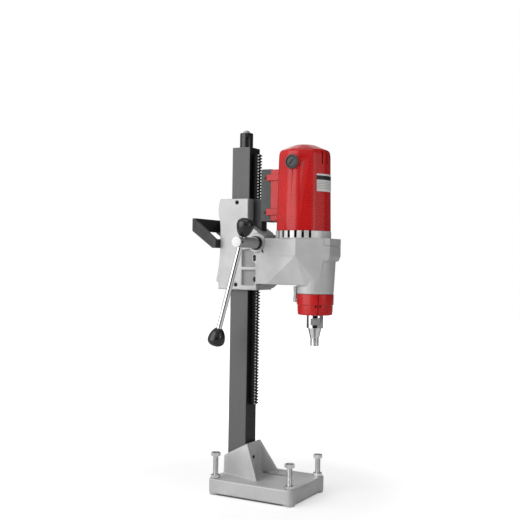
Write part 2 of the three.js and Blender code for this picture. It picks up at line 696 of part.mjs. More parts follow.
// A profile of [radius, distance] points turned about the T-bar. Distances run from the hub's axis
// towards the lower knob.
function alongBar(profile, count) {
  const geometry = new THREE.LatheGeometry(profile.map(([r, s]) => new THREE.Vector2(r, s)), count);
  const turn = new THREE.Quaternion().setFromUnitVectors(new THREE.Vector3(0, 1, 0), crankAxis);
  return solid(geometry.applyQuaternion(turn).translate(feed.x, crank.rodY, feed.z));
}

function makeCrankHub() {
  const { radius: r, near, far, flareRadius, flare, shaftRadius, shaftNear, rodRadius } = crank;
  const profile = [
    [0, -near], [r - 2, -near], [r, -near - 2], [r, flare - far], [flareRadius, flare - far],
    [flareRadius, -far], [0, -far],
  ];
  const body = turnedSideways(-1, profile, feed.x, feed.z, 28);
  const shaftWay = rodY(feed.x, feed.z, shaftRadius + GAP, shaftNear - 0.5, far + OVERRUN, 24);
  const bore = rodRadius + 0.4;
  const rodWay = alongBar([[0, -30], [bore, -30], [bore, 30], [0, 30]], 24);
  return cut(body, shaftWay, rodWay);
}

function makeBar() {
  const { rodRadius: r } = crank;
  const high = tbar.upperKnob - tbar.rodInKnob;
  const low = tbar.lowerKnob + tbar.rodInKnob;
  return alongBar([[0, high], [r, high], [r, low], [0, low]], 24);
}

// The egg-shaped knob's radius at distances from its neck.
const knobProfile = [
  [9, 0], [14, 6], [18, 13], [20.8, 21], [22, 28], [22, 33], [20, 39], [15, 43.8], [8, 46.6],
];

function makeKnob(neck, direction) {
  const bore = crank.rodRadius + GAP;
  const at = (distance) => neck + direction * distance;
  const seat = at(tbar.rodInKnob + 1);
  const skin = knobProfile.map(([r, s]) => [r, at(s)]);
  return alongBar([[0, seat], [bore, seat], [bore, neck], ...skin, [0, at(tbar.knob)]], 24);
}

// ---------- drill ----------
// Half of the gearbox's plan view, at its top, its waist and its foot.
const caseTop = [[gearbox.rear, 46], [186, 72], [263.5, 33]];
const caseWaist = [[gearbox.rear, 46], [186, 71], [249, 36]];
const caseFoot = [[gearbox.rear, 46], [95, 53.5], [205, 49], [238, 38]];
const caseChin = [[258, 32]];

// A plan outline with the same corners on both sides of the centre plane.
const planOutline = (points) =>
  outline([...points.map(([x, y, r]) => [x, -y, r]), ...points.toReversed().map(([x, y, r]) => [x, y, r])]);

const wheelRoom = planOutline([[112, 49, 6], [182, 65.5, 6], [236, 38, 4], [251, 14, 3]]);
const spindleRoom = planOutline([[148, 51, 4], [200, 51, 4], [236, 38, 4], [251, 14, 3]]);
const coverSeat = planOutline([[106, 50.3, 6], [182, 68.3, 6], [251, 34, 2]]);
const coverPlate = planOutline([[106.6, 49.8, 6], [182, 67.6, 6], [250.5, 33.5, 2]]);

// Half of the plan view of the hollow under the arm.
const recess = [[74, 5], [150, 5], [150, 43], [98, 43], [74, 38]];

// The room the carriage's boss takes out of the gearbox, with a slit in front of it.
function bossRoom() {
  const { gapRadius: r, gapHoleX, gapHoleZ, gapHole, top } = gearbox;
  const reach = 80;
  const steps = 6;
  const arc = Array.from({ length: steps + 1 }, (_, i) => (Math.PI / 4) * (i / steps - 1)).map((a) => [
    feed.x + r * Math.cos(a),
    feed.z + r * Math.sin(a),
  ]);
  const slit = prismY(
    [[feed.x, feed.z], ...arc, [feed.x + r, top + OVERRUN], [feed.x, top + OVERRUN]], -reach, reach,
  );
  const boss = rodY(feed.x, feed.z, carriage.bossRadius + 2 * GAP, -reach, reach, 32);
  return join(boss, slit, rodY(gapHoleX, gapHoleZ, gapHole, -reach, reach, 16));
}

function makeGearbox() {
  const { rear, top, waist, foot, nose, noseRadius, noseTopRadius } = gearbox;
  const { coverFloor, coverJoint, coverSplit, cavityStep, cavityFloor, recessTop } = gearbox;
  const x = drill.spindleX;
  const upper = hull(bothSides([
    ...atLevel(caseTop, waist), ...atLevel(caseTop, top), ...atLevel(caseChin, 606),
  ]));
  const lower = hull(bothSides([...atLevel(caseWaist, waist), ...atLevel(caseFoot, foot)]));
  const barrel = turned([
    [0, nose], [noseRadius, nose], [noseTopRadius, 612], [noseTopRadius, 640], [0, 640],
  ], x, 0, 32);
  const rooms = [
    prismZ(wheelRoom, cavityStep, top + OVERRUN),
    prismZ(spindleRoom, cavityFloor, cavityStep + OVERRUN),
    block(coverSplit, coverSplit + 20, -60, 60, coverJoint, top + OVERRUN),
    prismZ(coverSeat, coverFloor - GAP, top + OVERRUN),
  ];
  const [, bearingRadius, bearingFoot, bearingTop] = bearings.spindle_bearing_lower;
  const bearingSeat = rodZ(x, 0, bearingRadius + GAP, bearingFoot - 1, bearingTop + 1, 28);
  const spindleWay = rodZ(x, 0, spindleRadius.collar + 2, nose - OVERRUN, bearingFoot, 24);
  const spindleNeck = rodZ(x, 0, spindleRadius.body + 3, bearingTop, cavityFloor + OVERRUN, 24);
  const layWay = rodZ(lay.x, lay.y, layshaft.radius + GAP, recessTop, cavityFloor + OVERRUN, 24);
  const recesses = sides.map((side) =>
    prismZ(recess.map(([a, b]) => [a, side * b]), foot - OVERRUN, recessTop),
  );
  const boltWays = [armBolt.upper, armBolt.lower].flatMap((z) =>
    sides.map((side) =>
      rodX(side * armBolt.y, z, armBolt.radius + GAP, rear - OVERRUN, rear + armBolt.length - 3, 12),
    ),
  );
  const seats = [bearingSeat, spindleWay, spindleNeck, layWay];
  return cut(join(upper, lower, barrel), ...rooms, ...seats, bossRoom(), ...recesses, ...boltWays);
}

function makeGearboxCover() {
  const { top, coverFloor, coverJoint, coverSplit } = gearbox;
  const plate = prismZ(coverPlate, coverFloor, top);
  const front = [[coverSplit + GAP, 39.4], caseTop[2]];
  const nose = hull(bothSides([...atLevel(front, coverJoint + GAP), ...atLevel(front, top)]));
  const [, outer, bearingFoot, bearingTop] = bearings.spindle_bearing_upper;
  const hub = rodZ(drill.spindleX, 0, outer + 4.5, bearingFoot, coverFloor + OVERRUN, 24);
  const bearingSeat = rodZ(drill.spindleX, 0, outer + GAP, bearingFoot - OVERRUN, bearingTop + 1, 24);
  const pinionWay = rodZ(drill.motorX, 0, 12, coverFloor - 5, top + OVERRUN, 24);
  const layWay = rodZ(lay.x, lay.y, layshaft.radius + GAP, coverFloor - OVERRUN, layshaft.top + 0.5, 24);
  return cut(join(plate, nose, hub), bearingSeat, pinionWay, layWay);
}

function makeArmBolt(side, z) {
  const { radius, flats, head, length } = armBolt;
  const y = side * armBolt.y;
  const seat = carriage.armFace - pocket.wall;
  const hex = prismX(hexagon(y, z, flats, Math.PI / 6), seat - GAP - head, seat - GAP, { bevel: 0.6 });
  return join(hex, rodX(y, z, radius, seat - OVERRUN, seat + length, 12));
}

// A ring of vent slots under the motor's shell, with a cup for the lower bearing.
function makeMotorFlange() {
  const { flangeRadius: r, bottom, slots, blindSlots, slotHalf } = motor;
  const [, bearingRadius, bearingFoot, bearingTop] = bearings.motor_bearing_lower;
  const foot = gearbox.top + GAP;
  const top = bottom - GAP;
  const floor = foot + 5;
  const cup = bearingTop + 0.5;
  const seat = bearingFoot - 0.5;
  const bore = 9;
  const body = turned([
    [bore, foot], [r, foot], [r, top], [60, top], [60, floor], [19, floor], [19, cup],
    [bearingRadius + GAP, cup], [bearingRadius + GAP, seat], [bore, seat], [bore, foot],
  ], 0, 0, 36);
  const ways = [];
  for (let k = 0; k < slots; k++) {
    if (blindSlots.includes(k)) continue;
    const angle = 10 - 90 + (k * 360) / slots;
    ways.push(block(54, 80, -slotHalf, slotHalf, foot + 1, top + OVERRUN).rotate([0, 0, angle]));
  }
  return cut(body, ...ways).translate([drill.motorX, 0, 0]);
}

// Twelve corners: a narrow flat on each axis and two broad ones between each pair.
const facetAngles = [11, 45, 79].flatMap((a) => [a, a + 90, a + 180, a + 270]);
const facetRing = (radius, z) =>
  facetAngles.map((a) => {
    const angle = THREE.MathUtils.degToRad(a);
    return [drill.motorX + radius * Math.cos(angle), radius * Math.sin(angle), z];
  });

// The pad the switch box sits on, with lugs that clasp the box's sides.
function switchPad() {
  const { front, half, bottom, top, lugRear, lugHalf, lugs } = motorPad;
  const pad = prismZ(rectangle(switchBox.front + GAP, front, half, 3), bottom, top, { bevel: 1 });
  const clasps = lugs.flatMap(([z0, z1]) =>
    sides.map((side) => sideBlock(side, lugRear, front - 1, switchBox.half + GAP, lugHalf, z0, z1)),
  );
  return join(pad, ...clasps);
}

function makeMotorHousing() {
  const { radius, taper, domeInset, domeTop, bottom, shoulder, dome, top, wall } = motor;
  const { brushZ, brushBoss, brushBore } = motor;
  const x = drill.motorX;
  const shell = hull([
    ...facetRing(radius, bottom), ...facetRing(radius - taper, shoulder),
    ...facetRing(radius - domeInset, dome), ...facetRing(domeTop, top),
  ]);
  const inside = hull([
    ...facetRing(radius - wall, bottom - 2), ...facetRing(radius - taper - wall, shoulder - 2),
    ...facetRing(radius - domeInset - wall, dome - 4), ...facetRing(domeTop - 2, top - wall),
  ]);
  const brushBosses = sides.map((side) => sideRod(side, x, brushZ, brushBoss, 56, 70, 24));
  const [, bearingRadius, bearingFoot, bearingTop] = bearings.motor_bearing_upper;
  const hub = rodZ(x, 0, bearingRadius + 5, bearingFoot - 4, top - 2, 24);
  const bearingSeat = rodZ(x, 0, bearingRadius + GAP, bearingFoot - 6, bearingTop + 2, 24);
  const shaftWay = rodZ(x, 0, armatureShaft.radius + 2, bearingTop, top - 6, 16);
  const reach = 80;
  const brushWays = rodY(x, brushZ, brushBore + GAP, -reach, reach, 24);
  const vents = [0, 180].flatMap((turn) =>
    [-21, -7, 7, 21].map((a) =>
      block(52, 90, -2.2, 2.2, top - 52, top - 18).rotate([0, 0, turn + a]).translate([x, 0, 0]),
    ),
  );
  const wireWay = rodX(0, 775, 6, 90, 130, 16);
  const hollow = cut(join(shell, switchPad(), ...brushBosses), inside);
  return cut(join(hollow, hub), bearingSeat, shaftWay, brushWays, ...vents, wireWay);
}

function makeSwitchBox() {
  const { rear, front, half, bottom, top, wall } = switchBox;
  const body = prismZ(rectangle(rear, front, half, 4), bottom, top, { bevel: 1.5 });
  const inside = block(rear + wall, front + OVERRUN, wall - half, half - wall, bottom + wall, top - wall);
  const { rear: x0, front: x1, middle, half: halfHeight, clear } = rocker;
  const [z0, z1] = [middle - halfHeight - clear, middle + halfHeight + clear];
  const rockerWay = block(x0 - 1, x1 + 1, half - wall - OVERRUN, half + OVERRUN, z0, z1);
  const cableWay = rodZ((rear + front) / 2, 0, 8, bottom - OVERRUN, bottom + wall + OVERRUN, 20);
  return cut(body, inside, rockerWay, cableWay);
}

// The switch's rocker, with a hollow middle and two raised ends.
function makeRocker() {
  const { rear, front, middle, half, inner, outer } = rocker;
  return prismX([
    [inner, middle - half + 3], [outer, middle - half], [outer - 2, middle], [outer, middle + half],
    [inner, middle + half - 3],
  ], rear, front);
}

// A slotted screw cap over each brush.
function makeBrushCap(side) {
  const { brushZ, brushBore: r, capFace: face } = motor;
  const rim = r + 3;
  const seat = face - 3.5;
  const profile = [
    [0, 60], [r, 60], [r, seat], [rim, seat], [rim, face - 1.5], [rim - 1.5, face], [r - 1.5, face],
    [r - 2, face - 1], [0, face - 1],
  ];
  const groove = block(-10, 10, -1.5, 1.5, face - 3, face + OVERRUN).rotate([0, 0, 45]);
  return cut(turned(profile, 0, 0, 24), groove)
    .rotate([side < 0 ? 90 : -90, 0, 0])
    .translate([drill.motorX, 0, brushZ]);
}

function makeBrush(side) {
  const { brushZ } = motor;
  const x = drill.motorX;
  const stick = sideBlock(side, x - 4, x + 4, 17, 40, brushZ - 6, brushZ + 6);
  return join(stick, sideRod(side, x, brushZ, 3, 39, 59.7, 12));
}

function makeArmature() {
  const { radius: r, commutator } = armatureShaft;
  const x = drill.motorX;
  const layAt = Math.atan2(lay.y, lay.x - x);
  const shaft = turned([
    [0, 634], [5, 634], [5, 658], [r, 660], [r, stack.bottom], [24, stack.bottom + 2],
    [24, stack.top - 2], [commutator, stack.top], [commutator, 838], [r, 838], [r, 881], [0, 881],
  ], x, 0, 24);
  const teeth = gearOutline(stage1.module, stage1.pinion, x, 0, layAt, stage1.backlash);
  return join(shaft, prismZ(teeth, ...stage1.pinionZ));
}

// The field core, with room for the armature and for four windings.
function makeStator() {
  const { radius, poles, slot, slotHalf, bottom, top } = stack;
  const [low, high] = [bottom - OVERRUN, top + OVERRUN];
  const reach = rodZ(0, 0, slot, low, high);
  const windingWays = [45, 135].map((a) =>
    block(-radius, radius, -slotHalf, slotHalf, low, high).rotate([0, 0, a]).intersect(reach),
  );
  const core = cut(rodZ(0, 0, radius, bottom, top, 32), rodZ(0, 0, poles, low, high), ...windingWays);
  return core.translate([drill.motorX, 0, 0]);
}

function makeFan() {
  const { radius, hub, bottom, disc, top, blades, blade } = fan;
  const plate = rodZ(0, 0, radius, bottom, bottom + disc);
  const vane = block(hub - 2, radius - 2, -blade / 2, blade / 2, bottom + disc - 1, top);
  const vanes = Array.from({ length: blades }, (_, k) => vane.rotate([0, 0, (k * 360) / blades]));
  const bore = rodZ(0, 0, armatureShaft.radius + 0.5, bottom - OVERRUN, top + OVERRUN, 16);
  const wheel = join(plate, rodZ(0, 0, hub, bottom, top, 16), ...vanes);
  return cut(wheel, bore).translate([drill.motorX, 0, 0]);
}

function makeLayshaft() {
  const { radius, bottom, top } = layshaft;
  const spindleAt = Math.atan2(-lay.y, drill.spindleX - lay.x);
  const teeth = gearOutline(stage2.module, stage2.pinion, lay.x, lay.y, spindleAt, stage2.backlash);
  return join(rodZ(lay.x, lay.y, radius, bottom, top, 24), prismZ(teeth, ...stage2.pinionZ));
}

function makeLayGear() {
  const motorAt = Math.atan2(-lay.y, drill.motorX - lay.x);
  const points = gapOutline(stage1.module, stage1.wheel, lay.x, lay.y, motorAt, stage1.backlash);
  return prismZ(points, ...stage1.wheelZ, { holes: [circle(lay.x, lay.y, layshaft.radius + GAP)] });
}

function makeSpindleGear() {
  const x = drill.spindleX;
  const layAt = Math.atan2(lay.y, lay.x - x);
  const points = gapOutline(stage2.module, stage2.wheel, x, 0, layAt, stage2.backlash);
  return prismZ(points, ...stage2.wheelZ, { holes: [circle(x, 0, spindleRadius.neck + GAP)] });
}

// The hollow output spindle, with spanner flats, a cone and a male thread for the core bit.
function makeSpindle() {
  const { neck, body, collar: sleeve, barrel, thread, water, cone, flat } = spindleRadius;
  const z = spindleZ;
  const x = drill.spindleX;
  const shaft = turned([
    [water, z.tip], [thread - 1, z.tip], [thread, z.tip + 1.5], [thread, z.thread],
    [thread + 1, z.thread + 1], [cone, z.cone], [barrel, z.cone + 1], [barrel, z.barrel],
    [sleeve, z.barrel + 1.5], [sleeve, z.sleeve], [body, z.sleeve], [body, z.body], [neck, z.body],
    [neck, z.top], [0, z.top], [0, z.water], [water, z.water], [water, z.tip],
  ], x, 0, 28);
  const reach = 30;
  const flats = [z.flatsAt, z.flatsAt + 180].map((angle) =>
    block(flat, reach, -reach, reach, ...z.flats).rotate([0, 0, angle]).translate([x, 0, 0]),
  );
  const waterPort = rodX(0, collar.inletZ, 2.5, x - 25, x, 12);
  return cut(shaft, ...flats, waterPort);
}

function makeWaterCollar() {
  const { bottom, topRadius, bottomRadius, bore, inletZ, channel, split } = collar;
  const x = drill.spindleX;
  const top = gearbox.nose - GAP;
  const middle = (bottom + top) / 2;
  const body = turned([
    [bore, bottom], [bottomRadius - 2, bottom], [bottomRadius, bottom + 2],
    [bottomRadius + 0.8, middle - 2.2], [topRadius - 2, middle - 0.8], [topRadius - 0.5, middle],
    [topRadius, top], [bore, top], [bore, inletZ + 9], [channel, inletZ + 7], [channel, inletZ - 7],
    [bore, inletZ - 9], [bore, bottom],
  ], x, 0, 28);
  const inletWay = rodX(0, inletZ, inlet.radius + GAP, x - 60, x - 24, 16);
  const slit = block(38, 60, -split / 2, split / 2, bottom - OVERRUN, top + OVERRUN);
  return cut(body, inletWay, slit.rotate([0, 0, -55]).translate([x, 0, 0]));
}

// An upright body that feeds cooling water into the collar, with a barbed hose tail towards +Y.
function makeWaterInlet() {
  const { x, radius, body: r, top, tailZ, tailEnd } = inlet;
  const z = collar.inletZ;
  const foot = z - r;
  const stub = rodX(0, z, radius, x, drill.spindleX - 40, 16);
  const body = turned([
    [0, foot], [r - 1, foot], [r, foot + 1], [r, top - 1], [r - 1, top], [0, top],
  ], x, 0, 20);
  const barbs = [14, 20, 26].flatMap((reach) => [[5.4, reach], [4.3, reach + 1]]);
  const tail = [[0, 0], [4.3, 0], ...barbs, [4.3, tailEnd], [0, tailEnd]];
  return join(stub, body, turnedSideways(1, tail, x, tailZ, 16));
}

// ---------- assembly ----------
const part = new THREE.Group();

function add(name, manifold, material) {
  const mesh = new THREE.Mesh(toGeometry(manifold), materials[material]);
  mesh.name = name;
  part.add(mesh);
}

add("base_plate", makeBase(), "casting");
add("column_tube", makeColumn(), "blackPaint");
add("feed_rack", makeRack(), "rackSteel");
add("column_clamp_screw", makeColumnClampScrew(), "blackScrew");
for (const [name, at] of Object.entries(corners)) {
  add(`levelling_screw_${name}`, makeLevellingScrew(at), "zinc");
  add(`levelling_nut_${name}`, makeLevellingNut(at), "zinc");
}
add("jack_nut", makeJackNut(), "blackPlastic");
add("jack_screw", makeJackScrew(), "steel");

add("carriage_housing", makeCarriage(), "casting");
add("guide_pad_front_left", makeGuidePad(1, -1), "guide");
add("guide_pad_front_right", makeGuidePad(1, 1), "guide");
add("guide_pad_rear_left", makeGuidePad(-1, -1), "guide");
add("guide_pad_rear_right", makeGuidePad(-1, 1), "guide");
for (const [name, side] of [["left", -1], ["right", 1]]) {
  add(`arm_bolt_${name}_upper`, makeArmBolt(side, armBolt.upper), "blackScrew");
  add(`arm_bolt_${name}_lower`, makeArmBolt(side, armBolt.lower), "blackScrew");
  add(`feed_bush_${name}`, makeFeedBush(side), "blackScrew");
  add(`brush_cap_${name}`, makeBrushCap(side), "greyPlastic");
  add(`carbon_brush_${name}`, makeBrush(side), "carbon");
}
add("guide_screw_upper", makeGuideScrew(guideScrew.upper), "blackScrew");
add("guide_screw_lower", makeGuideScrew(guideScrew.lower), "blackScrew");
add("carry_handle", makeHandle(), "blackPaint");
add("rack_guard", makeRackGuard(), "blackPaint");
add("carriage_lock_lever", makeLockLever(), "blackScrew");

add("feed_pinion_shaft", makeFeedShaft(), "steel");
add("crank_hub", makeCrankHub(), "machined");
add("tbar_rod", makeBar(), "chrome");
add("tbar_knob_lower", makeKnob(tbar.lowerKnob, 1), "blackPlastic");
add("tbar_knob_upper", makeKnob(tbar.upperKnob, -1), "blackPlastic");

add("gearbox_housing", makeGearbox(), "casting");
add("gearbox_cover", makeGearboxCover(), "casting");
add("motor_flange", makeMotorFlange(), "machined");
add("motor_housing", makeMotorHousing(), "redPaint");
add("switch_box", makeSwitchBox(), "greyPlastic");
add("switch_rocker", makeRocker(), "blackPlastic");
add("stator_core", makeStator(), "steel");
add("armature", makeArmature(), "steel");
add("commutator", ring(drill.motorX, 0, armatureShaft.commutator + GAP, 16, 840, 862), "copper");
add("cooling_fan", makeFan(), "blackPlastic");
for (const [name, [bore, outer, z0, z1]] of Object.entries(bearings)) {
  const x = name.startsWith("motor") ? drill.motorX : drill.spindleX;
  add(name, ring(x, 0, bore + GAP, outer, z0, z1, 28), "steel");
}
add("layshaft", makeLayshaft(), "steel");
add("layshaft_gear", makeLayGear(), "steel");
add("spindle", makeSpindle(), "chrome");
add("spindle_gear", makeSpindleGear(), "steel");
add("water_collar", makeWaterCollar(), "redPaint");
add("water_inlet", makeWaterInlet(), "steel");

export default part;
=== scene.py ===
"""The looks of a core drill rig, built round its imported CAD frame.

Sizes and places are in millimetres in the row frame, and become metres where a vertex is made.
"""
import json
import math

import bmesh
import bpy
from mathutils import Matrix, Vector


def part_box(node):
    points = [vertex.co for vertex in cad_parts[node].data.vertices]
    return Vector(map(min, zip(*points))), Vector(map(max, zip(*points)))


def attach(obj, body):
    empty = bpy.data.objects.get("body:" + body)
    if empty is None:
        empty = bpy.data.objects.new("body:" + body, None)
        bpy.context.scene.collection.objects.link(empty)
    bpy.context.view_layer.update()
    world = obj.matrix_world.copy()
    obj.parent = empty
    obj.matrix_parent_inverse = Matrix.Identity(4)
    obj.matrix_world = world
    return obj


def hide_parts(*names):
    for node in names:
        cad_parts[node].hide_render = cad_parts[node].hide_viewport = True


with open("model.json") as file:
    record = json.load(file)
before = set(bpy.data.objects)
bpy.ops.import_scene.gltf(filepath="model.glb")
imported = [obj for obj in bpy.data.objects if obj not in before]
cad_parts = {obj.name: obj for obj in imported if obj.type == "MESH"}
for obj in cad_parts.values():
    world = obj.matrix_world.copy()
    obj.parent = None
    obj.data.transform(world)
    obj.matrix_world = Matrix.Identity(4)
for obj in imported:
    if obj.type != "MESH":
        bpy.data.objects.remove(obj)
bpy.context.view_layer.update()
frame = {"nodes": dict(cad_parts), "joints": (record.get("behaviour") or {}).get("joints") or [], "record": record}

MM = 0.001
ROUND_SIDES = 96
SMALL_SIDES = 48
SHARP = math.radians(32)

record = frame["record"]
BODY_OF = {node: body for body, nodes in record["behaviour"]["bodies"].items() for node in nodes}
SLOT_OF = {row["node"]: row["material_slot"] for row in record["subparts"]}
JOINT = {joint["name"]: joint for joint in frame["joints"]}


def low(node):
    """A CAD node's lowest corner, in millimetres."""
    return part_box(node)[0] / MM


def high(node):
    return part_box(node)[1] / MM


def middle(node):
    return (low(node) + high(node)) / 2


# ---------- materials ----------
class Surface:
    """A Principled material, and the nodes that vary it over the piece's own coordinates."""

    def __init__(self, name):
        self.material = bpy.data.materials.new(name)
        self.material.use_nodes = True
        self.tree = self.material.node_tree
        self.shader = self.tree.nodes["Principled BSDF"]
        self.place = self.node("ShaderNodeTexCoord").outputs["Object"]

    def node(self, kind, **settings):
        made = self.tree.nodes.new(kind)
        for key, value in settings.items():
            setattr(made, key, value)
        return made

    def feed(self, socket, value):
        if isinstance(value, bpy.types.NodeSocket):
            self.tree.links.new(value, socket)
        else:
            socket.default_value = value

    def noise(self, size, detail=3.0, stretch=(1, 1, 1)):
        """Noise whose features are about size millimetres, drawn out along the axes by stretch."""
        mapping = self.node("ShaderNodeMapping")
        self.feed(mapping.inputs["Vector"], self.place)
        mapping.inputs["Scale"].default_value = [1 / (size * MM * s) for s in stretch]
        noise = self.node("ShaderNodeTexNoise")
        self.feed(noise.inputs["Vector"], mapping.outputs["Vector"])
        noise.inputs["Scale"].default_value = 1
        noise.inputs["Detail"].default_value = detail
        return noise.outputs["Fac"]

    def spread(self, value, to_low, to_high, start=0.35, end=0.65):
        """value between start and end becomes to_low to to_high."""
        node = self.node("ShaderNodeMapRange")
        self.feed(node.inputs["Value"], value)
        for name, number in zip(("From Min", "From Max", "To Min", "To Max"), (start, end, to_low, to_high)):
            node.inputs[name].default_value = number
        return node.outputs["Result"]

    def math(self, operation, a, b):
        node = self.node("ShaderNodeMath", operation=operation)
        self.feed(node.inputs[0], a)
        self.feed(node.inputs[1], b)
        return node.outputs["Value"]

    def mix(self, amount, a, b):
        """Colour a where amount is 0, and b where it is 1."""
        node = self.node("ShaderNodeMix", data_type="RGBA")
        factor, first, second = node.inputs[0], node.inputs[6], node.inputs[7]
        self.feed(factor, amount)
        self.feed(first, (*a, 1) if isinstance(a, tuple) else a)
        self.feed(second, (*b, 1) if isinstance(b, tuple) else b)
        return node.outputs[2]

    def axis(self, letter):
        """The piece's own coordinate along one axis, in millimetres."""
        split = self.node("ShaderNodeSeparateXYZ")
        self.feed(split.inputs[0], self.place)
        return self.math("DIVIDE", split.outputs[letter], MM)

    def around(self, x=0.0, y=0.0):
        """Distance from the vertical line through x, y, in millimetres."""
        squares = [self.math("POWER", self.math("SUBTRACT", self.axis(letter), value), 2.0)
                   for letter, value in (("X", x), ("Y", y))]
        return self.math("SQRT", self.math("ADD", *squares), 0.0)

    def edges(self, radius, samples=4):
        """1 close to the piece's edges and 0 on its flats."""
        bevel = self.node("ShaderNodeBevel", samples=samples)
        bevel.inputs["Radius"].default_value = radius * MM
        dot = self.node("ShaderNodeVectorMath", operation="DOT_PRODUCT")
        self.feed(dot.inputs[0], bevel.outputs["Normal"])
        self.feed(dot.inputs[1], self.node("ShaderNodeNewGeometry").outputs["Normal"])
        return self.spread(dot.outputs["Value"], 1.0, 0.0, 0.86, 0.985)

    def rim(self, start, end):
        """1 where the surface turns away from the viewer, and 0 where it faces them."""
        weight = self.node("ShaderNodeLayerWeight")
        weight.inputs["Blend"].default_value = 0.5
        return self.spread(weight.outputs["Facing"], 0, 1, start, end)

    def facing(self, letter):
        """How far the surface faces along one axis, from -1 to 1."""
        split = self.node("ShaderNodeSeparateXYZ")
        self.feed(split.inputs[0], self.node("ShaderNodeTexCoord").outputs["Normal"])
        return split.outputs[letter]

    def bump(self, height, depth, below=None):
        node = self.node("ShaderNodeBump")
        node.inputs["Distance"].default_value = depth * MM
        self.feed(node.inputs["Height"], height)
        if below is not None:
            self.feed(node.inputs["Normal"], below)
        return node.outputs["Normal"]

    def finish(self, colour, roughness, metallic=0.0, normal=None, coat=0.0, specular=0.5):
        inputs = self.shader.inputs
        self.feed(inputs["Base Color"], (*colour, 1) if isinstance(colour, tuple) else colour)
        self.feed(inputs["Roughness"], roughness)
        self.feed(inputs["Metallic"], metallic)
        self.feed(inputs["Specular IOR Level"], specular)
        self.feed(inputs["Coat Weight"], coat)
        inputs["Coat Roughness"].default_value = 0.12
        if normal is not None:
            self.feed(inputs["Normal"], normal)
        return self.material


def cast_paint(name="cast_grey", pocket=None):
    """Silver-grey paint over a sand casting: a sandy skin, faint patches, and thin paint on the edges.

    pocket gives how far from the middle the floors of the carriage's side pockets are, their rear edge and their top;
    those floors are painted dark grey as painted shade.
    """
    s = Surface(name)
    patches = s.noise(55, 2)
    sand = s.noise(1.3, 4)
    tone = s.mix(s.spread(patches, 0, 1), (0.50, 0.505, 0.50), (0.58, 0.585, 0.58))
    if pocket:
        depth, edge, roof = pocket
        pocket_floor_shade = s.spread(s.math("ABSOLUTE", s.axis("Y"), 0.0), 1, 0, depth, depth + 1.5)
        inside = s.math("MULTIPLY", s.spread(s.axis("X"), 0, 1, edge - 0.5, edge + 0.5),
                        s.spread(s.axis("Z"), 1, 0, roof - 0.5, roof + 0.5))
        # Painted shade: the floors of the carriage's side pockets are painted dark grey.
        tone = s.mix(s.math("MULTIPLY", pocket_floor_shade, inside), tone, (0.235, 0.237, 0.235))
    flaked = s.mix(s.spread(s.noise(0.5, 1), 0, 0.22), tone, (0.70, 0.70, 0.71))
    worn = s.math("MULTIPLY", s.edges(1.3), s.spread(s.noise(7), 0, 0.55))
    colour = s.mix(worn, flaked, (0.74, 0.74, 0.74))
    skin = s.bump(s.noise(7, 2), 0.25, s.bump(sand, 0.11))
    return s.finish(colour, s.spread(sand, 0.38, 0.56), 0.25, skin)


def powder_coat():
    """Satin black powder coat with rub marks along the column; faces turned towards +X, the rack's side, are painted
    near-black as painted shade.
    """
    s = Surface("column_black")
    grain = s.noise(0.9, 3)
    rub = s.noise(3, 3, (1, 1, 60))
    colour = s.mix(s.spread(grain, 0, 1), (0.085, 0.085, 0.086), (0.155, 0.155, 0.157))
    rubbed = s.mix(s.spread(rub, 0, 0.35, 0.5, 0.8), colour, (0.20, 0.20, 0.203))
    # Painted shade: faces turned towards +X are painted near-black.
    side_shade = s.mix(s.spread(s.facing("X"), 0, 1, 0.6, 0.9), rubbed, (0.004, 0.004, 0.004))
    worn = s.math("MULTIPLY", s.edges(0.8), s.spread(s.noise(12), 0, 0.5))
    roughness = s.math("ADD", s.spread(grain, 0.36, 0.50), s.spread(rub, 0.0, 0.07))
    skin = s.bump(s.noise(2.2, 2), 0.06, s.bump(grain, 0.035))
    return s.finish(s.mix(worn, side_shade, (0.22, 0.22, 0.22)), roughness, 0.0, skin, specular=0.45)


def satin_black():
    """Satin black paint on the bent steel handle and the guard."""
    s = Surface("handle_black")
    grain = s.noise(1.1, 3)
    colour = s.mix(s.spread(grain, 0, 1), (0.006, 0.006, 0.006), (0.018, 0.018, 0.018))
    worn = s.math("MULTIPLY", s.edges(0.8), s.spread(s.noise(9), 0, 0.5))
    skin = s.bump(grain, 0.04)
    return s.finish(s.mix(worn, colour, (0.13, 0.13, 0.13)), s.spread(s.noise(14), 0.34, 0.5), 0, skin)


def rack_steel(tip):
    """Blackened steel, with teeth whose ±Y sides are bare; tooth faces turned towards +X, the tips, stay dark as
    painted shade.
    """
    s = Surface("rack_black")
    mill = s.noise(1.2, 3, (1, 14, 1))
    dark = s.mix(s.spread(mill, 0, 1), (0.004, 0.004, 0.004), (0.014, 0.014, 0.013))
    tooth = s.math("MULTIPLY", s.spread(s.axis("X"), 0, 1, tip - 4.8, tip - 4.2),
                   s.spread(s.axis("X"), 1, 0, tip - 0.5, tip - 0.1))
    # Painted shade: tooth faces turned towards +X keep most of the dark colour, while the ±Y sides show bare steel.
    side = s.math("ABSOLUTE", s.facing("Y"), 0.0)
    bright = s.math("MULTIPLY", tooth, s.math("MULTIPLY", s.spread(side, 0.12, 1, 0.3, 0.8), s.spread(s.noise(2.5), 0.6, 1)))
    colour = s.mix(bright, dark, (0.55, 0.54, 0.53))
    return s.finish(colour, s.spread(mill, 0.40, 0.56), s.spread(bright, 0.0, 0.7, 0, 1), s.bump(mill, 0.05),
                    specular=0.25)


